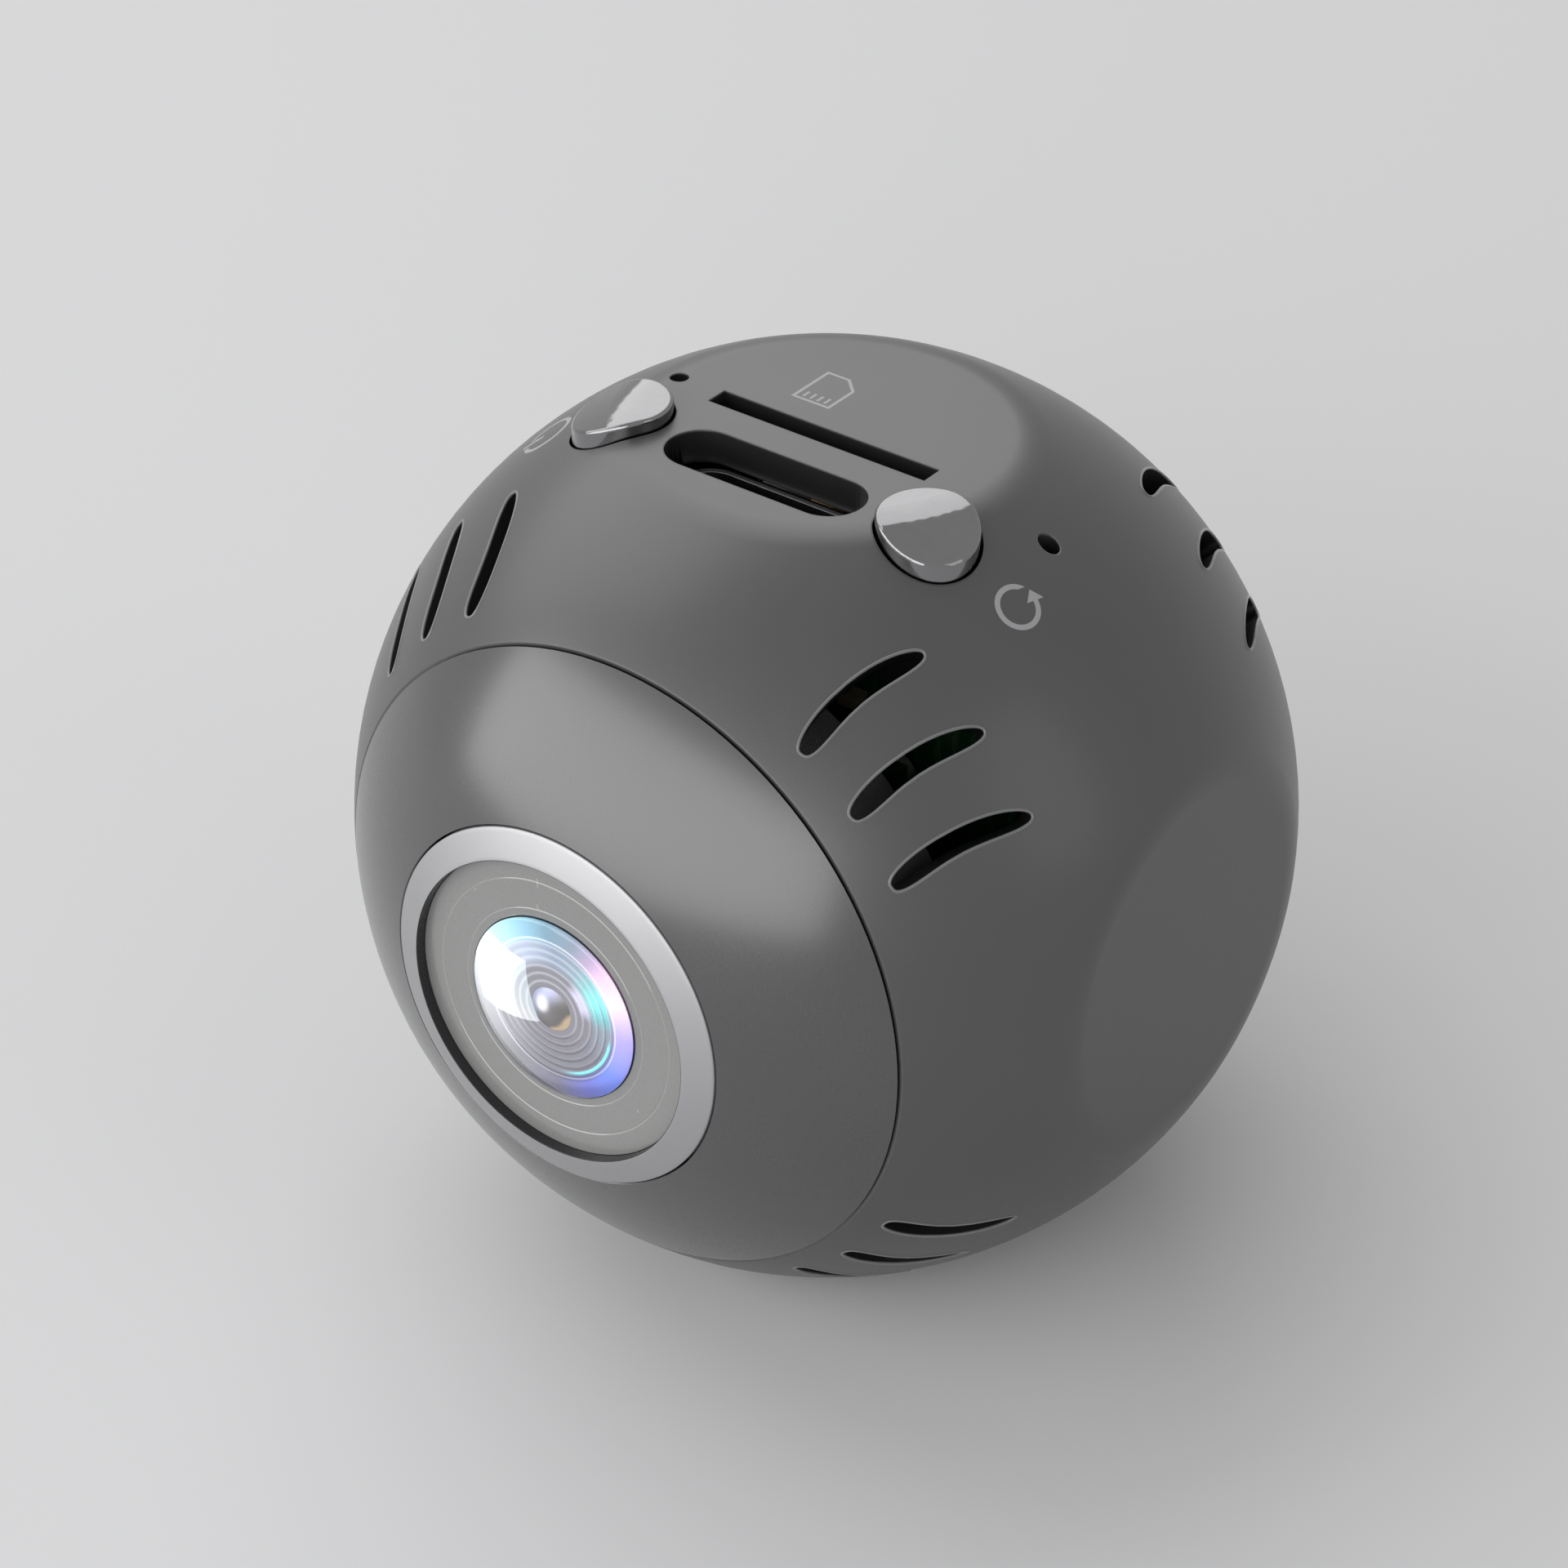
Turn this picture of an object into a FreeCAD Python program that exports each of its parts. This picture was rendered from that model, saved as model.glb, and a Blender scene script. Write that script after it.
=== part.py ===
import FreeCAD, Part
import math
import os
import re
import Sketcher

# Panoramic ball camera, in millimetres. +Z is up, the lens looks along -Y.
# The origin is the centre of the bottom flat. Every formula counts from the ball's centre,
# and each finished piece is then lifted by flat_distance.

V = FreeCAD.Vector
doc = FreeCAD.newDocument("PanoramicCamera")
sheet = doc.addObject("Spreadsheet::Sheet", "Sizes")

# All lengths are in millimetres and all angles in degrees.
SIZES = {
    # ball and covers
    "ball_radius": 21.0,
    "flat_depth": 1.85,
    "flat_blend": 3.5,
    "wall": 1.6,
    "seam_land": 0.768,
    "seam_gap": 0.14,
    "mouth_radius": 14.0,
    "skirt_clearance": 0.1,
    "skirt_thickness": 1.1,
    "skirt_gap": 0.2,
    # vents
    "vent_lens_angle": 58.1,
    "vent_azimuth": 45.3,
    "vent_pitch": 11.8,
    "vent_length": 6.55,
    "vent_width": 1.24,
    "vent_bow": 0.45,
    "vent_bow_lead": 0.1,
    "vent_bow_drop": 0.255,
    "vent_pinch": 0.17,
    "vent_points": 32,
    "vent_near_power": 2.9,
    "vent_far_power": 2.3,
    # top openings
    "port_margin_length": 0.96,
    "port_margin_width": 0.14,
    "slot_length": 11.36,
    "slot_width": 1.17,
    "slot_offset": 0.12,
    "lamp_place": 7.96,
    "lamp_line": 0.25,
    "lamp_hole_radius": 0.425,
    "mic_place": 11.33,
    "mic_line": 0.15,
    "mic_hole_radius": 0.475,
    # buttons
    "button_place": 8.0,
    "button_radius": 2.2,
    "button_clearance": 0.1,
    "button_proud": 0.65,
    "button_edge": 0.18,
    "button_travel": 0.25,
    "sleeve_wall": 0.65,
    "sleeve_depth": 3.65,
    "tab_overhang": 0.45,
    "tab_width": 1.4,
    "tab_thickness": 0.7,
    "stop_gap": 0.05,
    "stem_radius": 1.0,
    # lens bezel and face
    "bezel_width": 1.34,
    "bezel_gap": 0.1,
    "bezel_depth": 3.5,
    "seat_thickness": 1.1,
    "seat_wall": 1.05,
    "face_recess": 1.78,
    "face_thickness": 0.62,
    "lens_head_radius": 6.95,
    "lens_head_length": 2.32,
    "lens_shoulder": 1.0,
    "thread_spare": 0.8,
    "thread_clearance": 0.05,
    "bezel_clearance": 0.16,
    # lens elements
    "glass_radius": 4.3,
    "glass_proud": 0.21,
    "glass_rise": 0.9,
    "glass_flange": 0.7,
    "glass_depth": 1.82,
    "glass_edge": 1.0,
    "glass_hollow_curve": 4.4,
    "element_gap": 0.05,
    "element_radius": 4.2,
    "baffle_mouth": 3.2,
    "baffle_throat": 1.3,
    "baffle_steps": 6,
    "baffle_length": 1.9,
    "middle_lens_length": 1.3,
    "middle_lens_curve": 22.0,
    "stop_length": 0.7,
    "stop_hole": 0.9,
    "rear_lens_length": 2.3,
    "rear_lens_curve": 12.0,
    "lock_ring_length": 1.0,
    "lock_ring_hole": 2.8,
    # lens holder, filter and sensor
    "holder_margin": 1.4,
    "holder_thickness": 2.6,
    "cavity_depth": 2.0,
    "holder_tube_wall": 1.45,
    "thread_grip": 4.6,
    "thread_floor_gap": 0.4,
    "web_thickness": 0.8,
    "web_hole": 4.0,
    "cavity_width": 11.0,
    "filter_width": 9.0,
    "filter_thickness": 0.4,
    "sensor_width": 7.4,
    "sensor_thickness": 1.2,
    "sensor_board_thickness": 1.0,
    "boss_gap": 0.434,
    # screws
    "screw_radius": 0.8,
    "screw_hole_clearance": 0.05,
    "screw_head_radius": 1.35,
    "screw_head_thickness": 0.85,
    "screw_recess_length": 1.6,
    "screw_recess_width": 0.4,
    "screw_recess_depth": 0.4,
    "lens_screw_length": 7.6,
    "cover_screw_length": 5.6,
    "board_screw_length": 4.6,
    "tray_screw_length": 4.4,
    "hole_spare": 0.4,
    "boss_radius": 1.5,
    # lugs of the shell
    "lug_thickness": 1.6,
    "front_lug_gap": 0.1,
    "front_lug_lip": 0.05,
    "lug_half_width": 2.3,
    "cover_screw_inset": 1.7,
    "board_screw_inset": 2.7,
    "board_post_radius": 1.25,
    "rear_lug_face": 8.9,
    "tray_lug_gap": 0.35,
    "tray_screw_inset": 1.45,
    "tray_post_length": 2.0,
    "catch_lip": 0.4,
    "catch_wall": 1.1,
    "window_inside": 0.35,
    "window_outside": 0.2,
    "window_side": 0.3,
    # snap arms of the rear cover
    "arm_inset": 0.95,
    "arm_thickness": 1.0,
    "arm_half_width": 2.2,
    "hook_gap": 0.1,
    "hook_length": 0.9,
    "hook_reach": 0.55,
    # main board
    "board_gap": 2.15,
    "board_thickness": 1.2,
    "board_clearance": 0.1,
    "board_rise": 2.4,
    # charging connector
    "usb_width": 8.94,
    "usb_height": 3.16,
    "usb_wall": 0.3,
    "usb_length": 7.35,
    "usb_recess": 1.7,
    "usb_floor": 1.1,
    "tongue_width": 6.69,
    "tongue_thickness": 0.7,
    "tongue_length": 5.6,
    "usb_contacts": 12,
    "usb_contact_pitch": 0.5,
    "usb_contact_width": 0.28,
    "usb_contact_length": 3.6,
    "usb_contact_thickness": 0.06,
    # card reader
    "card_width": 14.4,
    "card_recess": 3.85,
    "card_length": 12.8,
    "card_base_thickness": 0.6,
    "card_room": 1.1,
    "card_cover_thickness": 0.2,
    "card_contacts": 8,
    "card_contact_pitch": 1.1,
    "card_contact_width": 0.5,
    "card_contact_length": 4.0,
    "card_contact_thickness": 0.1,
    "card_contact_margin": 0.1,
    "card_stop": 0.8,
    # switches
    "switch_width": 4.0,
    "switch_depth": 2.2,
    "switch_floor": 1.1,
    "switch_height": 2.0,
    "plunger_width": 1.6,
    "plunger_depth": 1.0,
    "plunger_length": 1.6,
    "stem_length": 1.05,
    "plunger_clearance": 0.05,
    # lamp and microphone
    "led_width": 1.2,
    "led_depth": 1.0,
    "led_drop": 6.55,
    "led_height": 0.8,
    "pipe_recess": 0.75,
    "pipe_clearance": 0.05,
    "pipe_foot_height": 0.7,
    "pipe_foot_back": 0.1,
    "mic_cup_wall": 0.25,
    "mic_cup_depth": 6.95,
    "boot_wall": 0.4,
    "boot_height": 1.6,
    "boot_recess": 0.1,
    "boot_clearance": 0.05,
    "boot_roof": 0.4,
    "capsule_radius": 1.5,
    "capsule_height": 1.1,
    # chips
    "chip_top": 1.4,
    "chip_bottom": -6.6,
    "processor_left": -7.8,
    "processor_right": 0.2,
    "processor_thickness": 1.0,
    "pad_thickness": 0.5,
    "sink_thickness": 1.5,
    "sink_margin": 0.2,
    "sink_groove": 0.8,
    "sink_groove_depth": 0.9,
    "sink_groove_pitch": 1.6,
    "sink_grooves": 4,
    "wireless_left": 1.0,
    "wireless_right": 8.0,
    "wireless_thickness": 1.6,
    "memory_left": -7.6,
    "memory_right": -4.9,
    "memory_bottom": -4.4,
    "memory_top": 2.6,
    "memory_thickness": 0.8,
    "small_part_length": 1.0,
    "small_part_width": 0.6,
    "small_part_height": 0.8,
    "small_part_pitch": 1.9,
    "small_part_row": 8.6,
    "small_parts": 5,
    # sensor ribbon and its connectors
    "connector_width": 8.0,
    "connector_length": 2.8,
    "connector_height": 1.0,
    "sensor_connector_bottom": 2.2,
    "board_connector_top": -3.8,
    "ribbon_width": 6.6,
    "ribbon_thickness": 0.15,
    "ribbon_straight": 1.2,
    # battery and its tray
    "battery_width": 17.0,
    "battery_height": 18.0,
    "battery_thickness": 9.0,
    "tray_depth": 5.35,
    "battery_clearance": 0.1,
    "battery_round": 1.0,
    "tray_wall": 0.8,
    "tray_floor": 1.0,
    "tray_gap": 0.1,
    "ear_width": 2.6,
    "ear_thickness": 1.2,
    "ear_margin": 1.3,
    "foam_width": 14.0,
    "foam_thickness": 1.0,
    "rib_half_length": 6.5,
    "rib_thickness": 1.2,
    # battery lead
    "plug_socket_left": -5.6,
    "plug_socket_right": -1.9,
    "plug_socket_bottom": -9.7,
    "plug_socket_top": -7.6,
    "plug_socket_height": 2.4,
    "plug_height": 1.3,
    "plug_margin": 0.2,
    "wire_radius": 0.3,
    "wire_side": 1.0,
    "wire_spacing": 0.9,
    "wire_gap": 1.0,
    "wire_bend": 1.2,
    "wire_behind": 1.4,
    # antenna
    "antenna_length": 13.0,
    "antenna_width": 5.0,
    "antenna_thickness": 0.15,
    "antenna_front": 3.0,
    # how far one solid reaches into another that it is fused with or cut from
    "overlap": 0.4,
    "reach": 30.0,
}

# Places and sizes that follow from the ones above. Distances count from the ball's centre.
DERIVED = {
    "flat_distance": "ball_radius - flat_depth",
    "seam_distance": "sqrt(ball_radius ^ 2 - (mouth_radius + seam_land) ^ 2)",
    "front_skirt_end": "front_lug_face + skirt_gap",
    "rear_skirt_end": "rear_lug_face + skirt_gap",
    # lens, from the face inwards
    "face_distance": "ball_radius - face_recess",
    "lens_head_end": "face_distance - lens_head_length",
    "glass_rim": "face_distance + glass_proud",
    "glass_back": "face_distance - glass_depth",
    "glass_flange_radius": "glass_radius + glass_flange",
    "glass_hollow_radius": "glass_radius - glass_edge",
    "baffle_end": "glass_back - baffle_length",
    "middle_lens_end": "baffle_end - middle_lens_length",
    "stop_end": "middle_lens_end - stop_length",
    "rear_lens_end": "stop_end - rear_lens_length",
    "lock_ring_end": "rear_lens_end - lock_ring_length",
    "thread_radius": "lens_head_radius - lens_shoulder",
    "thread_end": "lock_ring_end - thread_spare",
    "bezel_radius": "lens_head_radius + bezel_clearance + bezel_width",
    "bezel_seat": "ball_radius - bezel_depth",
    # holder and boards, behind the lens
    "thread_floor": "thread_end - thread_floor_gap",
    "holder_tube_radius": "thread_radius + holder_tube_wall",
    "holder_tube_end": "thread_floor + thread_grip",
    "holder_back": "thread_floor - web_thickness - cavity_depth",
    "holder_front": "holder_back + holder_thickness",
    "lens_screw_place": "(holder_tube_radius + boss_radius + boss_gap) / sqrt(2)",
    "holder_width": "2 * (lens_screw_place + holder_margin)",
    "front_lug_face": "holder_front + front_lug_gap",
    "board_front": "holder_back - sensor_board_thickness - board_gap",
    "board_radius": "mouth_radius - board_clearance",
    "cover_screw_place": "mouth_radius - cover_screw_inset",
    "board_screw_place": "cover_screw_place - board_screw_inset",
    "front_lug_reach": "board_screw_place - board_post_radius - front_lug_lip",
    # sockets under the top flat
    "port_length": "usb_width + port_margin_length",
    "port_width": "usb_height + port_margin_width",
    "usb_mouth": "flat_distance - usb_recess",
    "slot_centre": "board_front - board_thickness - card_base_thickness - card_room / 2 - slot_offset",
    "card_top": "flat_distance - card_recess",
    "card_bottom": "card_top - card_length",
    "card_contact_bottom": "card_bottom + card_stop + card_contact_margin",
    # buttons and switches
    "button_line": "board_front + switch_depth / 2",
    "sleeve_end": "flat_distance - sleeve_depth",
    "tab_reach": "button_radius + button_clearance + tab_overhang",
    "plunger_top": "sleeve_end - stop_gap - stem_length",
    "plunger_bottom": "plunger_top - plunger_length",
    "switch_bottom": "plunger_bottom - switch_floor",
    # lamp and microphone
    "led_bottom": "flat_distance - led_drop",
    "pipe_top": "flat_distance - pipe_recess",
    "boot_radius": "capsule_radius + boot_clearance + boot_wall",
    "mic_cup_radius": "boot_radius + boot_clearance + mic_cup_wall",
    "mic_cup_end": "flat_distance - mic_cup_depth",
    "boot_bottom": "mic_cup_end + boot_recess",
    "boot_top": "boot_bottom + boot_height",
    # battery tray, snap arms and lead
    "tray_end": "rear_lug_face - tray_gap",
    "battery_front": "tray_end - tray_depth",
    "tray_lug_reach": "battery_width / 2 + battery_clearance + tray_wall + tray_lug_gap",
    "tray_screw_place": "tray_lug_reach + tray_screw_inset",
    "ear_reach": "tray_screw_place + ear_margin",
    "arm_inner": "mouth_radius - skirt_clearance - skirt_thickness - arm_inset",
    "arm_end": "rear_lug_face - lug_thickness - hook_gap - hook_length",
    "window_half_width": "arm_half_width + window_side",
    "window_inner": "arm_inner - window_inside",
    "window_outer": "arm_inner + arm_thickness + hook_reach + window_outside",
    "catch_half_width": "window_half_width + catch_wall",
    "catch_lug_reach": "window_inner - catch_lip",
    "wire_place": "-(catch_half_width + wire_side)",
    "wire_drop": "battery_height / 2 + battery_clearance + tray_wall + wire_gap",
    "wire_rear": "tray_end + wire_behind",
}

for row, (alias, value) in enumerate(SIZES.items(), start=1):
    sheet.set("A%d" % row, alias.replace("_", " "))
    sheet.set("B%d" % row, str(value))
    sheet.setAlias("B%d" % row, alias)
doc.recompute()


def formula(text):
    """Write out the derived names of a formula, and put the sheet's name before each alias."""
    def written_out(match):
        name = match[0]
        if name in DERIVED:
            return "(%s)" % formula(DERIVED[name])
        return "Sizes." + name if name in SIZES else name
    return re.sub(r"[a-z]+(?:_[a-z]+)*", written_out, str(text))


def value(text):
    return float(sheet.evalExpression(formula(text)))


def bind(obj, prop, text):
    obj.setExpression(prop, formula(text))


def place(obj, x="0", y="0", z="0"):
    bind(obj, "Placement.Base.x", x)
    bind(obj, "Placement.Base.y", y)
    bind(obj, "Placement.Base.z", z)


# Primitives

def block(name, x, y, z):
    """A box between two formulas on each axis."""
    box = doc.addObject("Part::Box", name)
    for prop, (low, high) in zip(("Length", "Width", "Height"), (x, y, z)):
        bind(box, prop, "(%s) - (%s)" % (high, low))
    place(box, x[0], y[0], z[0])
    return box


TURNS = {
    "X": FreeCAD.Rotation(V(0, 1, 0), 90),
    "Y": FreeCAD.Rotation(V(1, 0, 0), -90),
    "Z": FreeCAD.Rotation(),
}


def rod(name, radius, axis, low, high, centre=("0", "0")):
    """A cylinder along an axis, between two places on it. The centre is on the two other axes, in order."""
    cylinder = doc.addObject("Part::Cylinder", name)
    bind(cylinder, "Radius", radius)
    bind(cylinder, "Height", "(%s) - (%s)" % (high, low))
    cylinder.Placement = FreeCAD.Placement(V(), TURNS[axis])
    first, second = centre
    spot = {"X": (low, first, second), "Y": (first, low, second), "Z": (first, second, low)}[axis]
    place(cylinder, *spot)
    return cylinder


def ball(name, radius):
    sphere = doc.addObject("Part::Sphere", name)
    bind(sphere, "Radius", radius)
    return sphere


def fuse(name, *parts):
    fusion = doc.addObject("Part::MultiFuse", name)
    fusion.Shapes = list(parts)
    return fusion


def common(name, *parts):
    shared = doc.addObject("Part::MultiCommon", name)
    shared.Shapes = list(parts)
    return shared


def cut(name, base, *tools):
    result = doc.addObject("Part::Cut", name)
    result.Base = base
    result.Tool = tools[0] if len(tools) == 1 else fuse(name + "_tools", *tools)
    return result


def group(name, *parts):
    compound = doc.addObject("Part::Compound", name)
    compound.Links = list(parts)
    return compound


def turned_about_lens(name, source, angle):
    """A copy of a shape turned about the lens axis."""
    copy = group(name, source)
    bind(copy, "Placement", "placement(vector(0; 0; 0); rotation(vector(0; 1; 0); %s))" % angle)
    return copy


def around(middle, width):
    """The two ends of a width about a middle."""
    return ("%s - (%s) / 2" % (middle, width), "%s + (%s) / 2" % (middle, width))


def row_of(count_name, pitch):
    """Places of evenly spaced pieces about the middle."""
    count = int(SIZES[count_name])
    return ["%s * %s" % (pitch, number - (count - 1) / 2) for number in range(count)]


# Sketched bodies

def sketch_on(body, role, offset="0"):
    sketch = body.newObject("Sketcher::SketchObject", body.Name + "_sketch")
    plane = [feature for feature in body.Origin.OriginFeatures if feature.Role == role][0]
    sketch.AttachmentSupport = [(plane, "")]
    sketch.MapMode = "FlatFace"
    bind(sketch, "AttachmentOffset.Base.z", offset)
    return sketch


def dimension(sketch, text, kind, *places):
    """A dimension of a sketch, bound to a formula."""
    number = sketch.addConstraint(Sketcher.Constraint(kind, *places, value(text)))
    bind(sketch, "Constraints[%d]" % number, text)


def outline(sketch, points):
    """A closed outline of formulas. A third item on a point is the radius of the arc to the next point:
    above zero the arc's middle lies to the left of the way there, below zero to the right."""
    spots = [V(value(point[0]), value(point[1]), 0) for point in points]
    start = sketch.GeometryCount
    for index, point in enumerate(points):
        here = spots[index]
        there = spots[(index + 1) % len(points)]
        if len(point) == 2:
            sketch.addGeometry(Part.LineSegment(here, there), False)
            continue
        radius = value(point[2])
        along = there - here
        side = V(-along.y, along.x, 0).normalize() * math.copysign(1, radius)
        rise = abs(radius) - math.sqrt(radius ** 2 - (along.Length / 2) ** 2)
        middle = (here + there) * 0.5 + side * rise
        sketch.addGeometry(Part.Arc(here, middle, there), False)
    count = len(points)
    ends = []
    for point in points:
        # an arc that bulges to the left of its way is stored from its far end to its near end
        backward = len(point) == 3 and value(point[2]) > 0
        ends.append((2, 1) if backward else (1, 2))
    for index in range(count):
        after = (index + 1) % count
        sketch.addConstraint(Sketcher.Constraint("Coincident", start + index, ends[index][1],
                                                 start + after, ends[after][0]))
    for index, point in enumerate(points):
        for kind, text in zip(("DistanceX", "DistanceY"), point):
            dimension(sketch, text, kind, -1, 1, start + index, ends[index][0])
        if len(point) == 3:
            dimension(sketch, point[2].lstrip("-"), "Radius", start + index)


def circle(sketch, x, y, radius):
    index = sketch.addGeometry(Part.Circle(V(value(x), value(y), 0), V(0, 0, 1), value(radius)), False)
    dimension(sketch, x, "DistanceX", -1, 1, index, 3)
    dimension(sketch, y, "DistanceY", -1, 1, index, 3)
    dimension(sketch, radius, "Radius", index)


def turned(name, points, role="XY_Plane"):
    """A solid of revolution about the sketch's vertical axis: the lens axis, or Z on the XZ plane."""
    body = doc.addObject("PartDesign::Body", name)
    sketch = sketch_on(body, role)
    outline(sketch, points)
    revolution = body.newObject("PartDesign::Revolution", name + "_turn")
    revolution.Profile = sketch
    revolution.ReferenceAxis = (sketch, ["V_Axis"])
    revolution.Angle = 360
    return body


def plate(name, points, front, back, holes=()):
    """A plate between two places on the lens axis, with an outline and round holes on X and Z."""
    body = doc.addObject("PartDesign::Body", name)
    sketch = sketch_on(body, "XZ_Plane", "-(%s)" % back)
    outline(sketch, points)
    for x, z, radius in holes:
        circle(sketch, x, z, radius)
    pad = body.newObject("PartDesign::Pad", name + "_pad")
    pad.Profile = sketch
    bind(pad, "Length", "(%s) - (%s)" % (back, front))
    return body


def rectangle(left, right, bottom, top):
    return [(left, bottom), (right, bottom), (right, top), (left, top)]


# Finished pieces

SUB_PARTS = []


def finish(name, obj):
    """Name a piece and lift it so that the bottom flat lies at zero."""
    if obj.TypeId in ("Part::Box", "Part::Cylinder"):
        obj = group(name + "_piece", obj)
    obj.Label = name
    bind(obj, "Placement.Base.z", "flat_distance")
    SUB_PARTS.append(obj)
    return obj


# The ball and its openings

def ball_with_flats(name, radius, distance, blend=None):
    """A ball cut by five flats. The lens side stays round."""
    limits = ("-(%s)" % distance, distance)
    box = block(name + "_flats", limits, ("-reach", distance), limits)
    shape = common(name, ball(name + "_sphere", radius), box)
    if blend is None:
        return shape
    doc.recompute()
    rounded = doc.addObject("Part::Fillet", name + "_rounded")
    rounded.Base = shape
    blend_size = value(blend)
    rounded.Edges = [(index + 1, blend_size, blend_size) for index, edge in enumerate(shape.Shape.Edges)
                     if is_flat_edge(edge)]
    return rounded


def is_flat_edge(edge):
    """Whether an edge runs round a flat, and not along the ball's seam."""
    return isinstance(edge.Curve, Part.Circle) and edge.Curve.Radius < value("flat_distance")


def vent_outline():
    """One vent seen from outside: a bowed slot, pinched on its inner side and blunter towards the lens."""
    points = []
    steps = int(SIZES["vent_points"])
    half_length = value("vent_length") / 2
    half_width = value("vent_width") / 2
    under_wall = value("ball_radius - wall - 3 * overlap")
    for step in range(steps):
        angle = 2 * math.pi * step / steps
        along, across = math.cos(angle), math.sin(angle)
        power = 2 / value("vent_far_power" if along > 0 else "vent_near_power")
        share = math.copysign(abs(along) ** power, along)
        side = math.copysign(abs(across) ** power, across)
        # the width is laid off square to the bowed middle line, whose top lies a little towards the lens
        off_top = share + value("vent_bow_lead")
        lean = -2 * value("vent_bow") * off_top / half_length
        width = half_width * side / math.hypot(1, lean)
        rise = value("vent_bow") * (1 - off_top ** 2) - value("vent_bow_drop")
        if side < 0:
            rise += value("vent_pinch") * (1 - share ** 2) ** 2
        points.append(V(half_length * share - lean * width, width + rise, under_wall))
    curve = Part.BSplineCurve()
    curve.interpolate(points, PeriodicFlag=True)
    shape = doc.addObject("Part::Feature", "vent_outline")
    shape.Shape = Part.Face(Part.Wire([curve.toShape()]))
    return shape


def vents():
    """Three slots between two flats, mirrored to all eight corners of the ball."""
    face = vent_outline()
    slots = []
    for index in (-1, 0, 1):
        slot = doc.addObject("Part::Extrusion", "vent_%d" % (index + 2))
        slot.Base = face
        slot.DirMode = "Custom"
        slot.Dir = V(0, 0, 1)
        bind(slot, "LengthFwd", "reach")
        slot.Solid = True
        # the outline's X turns to the way from the lens, its Y to the way round the lens axis
        azimuth = "vent_azimuth + %d * vent_pitch" % index
        bind(slot, "Placement", "placement(vector(0; 0; 0); rotation(vector(0; 1; 0); -(%s))"
             " * rotation(vector(0; 0; 1); vent_lens_angle - 90) * rotation(vector(0; 1; 0); 90)"
             " * rotation(vector(0; 0; 1); 90))" % azimuth)
        slots.append(slot)
    shape = group("vent_corner", *slots)
    for name, normal in (("left", V(1, 0, 0)), ("below", V(0, 0, 1)), ("behind", V(0, 1, 0))):
        mirrored = doc.addObject("Part::Mirroring", "vents_" + name)
        mirrored.Source = shape
        mirrored.Normal = normal
        shape = group("vents_with_" + name, shape, mirrored)
    return shape


def stadium(name, length, width, low, high, x="0", y="0"):
    """An oblong with round ends, long in X, between two heights."""
    straight = "((%s) - (%s)) / 2" % (length, width)
    half = "(%s) / 2" % width
    middle = block(name + "_middle", ("(%s) - %s" % (x, straight), "(%s) + %s" % (x, straight)),
                   ("(%s) - %s" % (y, half), "(%s) + %s" % (y, half)), (low, high))
    ends = [rod(name + "_" + side, half, "Z", low, high, ("(%s) %s %s" % (x, sign, straight), y))
            for side, sign in (("left_end", "-"), ("right_end", "+"))]
    return fuse(name, middle, *ends)


USB_CENTRE = "-(board_front + usb_height / 2)"
BUTTONS = {"power": "-button_place", "reset": "button_place"}
SCREW_HOLE = "screw_radius + screw_hole_clearance"
FRONT_LUG_TURNS = {"left": 180, "below": 90}


def front_lug(name):
    """The lug on the right that takes a cover screw and a board post."""
    lug_back = "-(front_lug_face - lug_thickness)"
    arm = block(name + "_plate", ("front_lug_reach", "reach"), ("-front_lug_face", lug_back),
                ("-lug_half_width", "lug_half_width"))
    post = rod(name + "_post", "board_post_radius", "Y", "-front_lug_face", "-board_front",
               ("board_screw_place", "0"))
    return fuse(name, arm, post)


def front_lug_holes(name):
    through = rod(name + "_through", SCREW_HOLE, "Y", "-(front_lug_face + overlap)",
                  "-(front_lug_face - lug_thickness - overlap)", ("cover_screw_place", "0"))
    board_screw_end = "-(board_front - board_thickness + board_screw_length + hole_spare)"
    blind = rod(name + "_blind", SCREW_HOLE, "Y", board_screw_end, "-(board_front - overlap)",
                ("board_screw_place", "0"))
    return group(name, through, blind)


def tray_lug(name):
    arm = block(name + "_plate", ("tray_lug_reach", "reach"),
                ("rear_lug_face - lug_thickness", "rear_lug_face"), ("-lug_half_width", "lug_half_width"))
    post = rod(name + "_post", "boss_radius", "Y", "rear_lug_face - lug_thickness - tray_post_length",
               "rear_lug_face", ("tray_screw_place", "0"))
    return fuse(name, arm, post)


def catch_lug(name):
    """The lug on top with the window for a snap arm."""
    arm = block(name + "_plate", ("-catch_half_width", "catch_half_width"),
                ("rear_lug_face - lug_thickness", "rear_lug_face"), ("catch_lug_reach", "reach"))
    window = block(name + "_window", ("-window_half_width", "window_half_width"),
                   ("rear_lug_face - lug_thickness - overlap", "rear_lug_face + overlap"),
                   ("window_inner", "window_outer"))
    return cut(name, arm, window)


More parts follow.
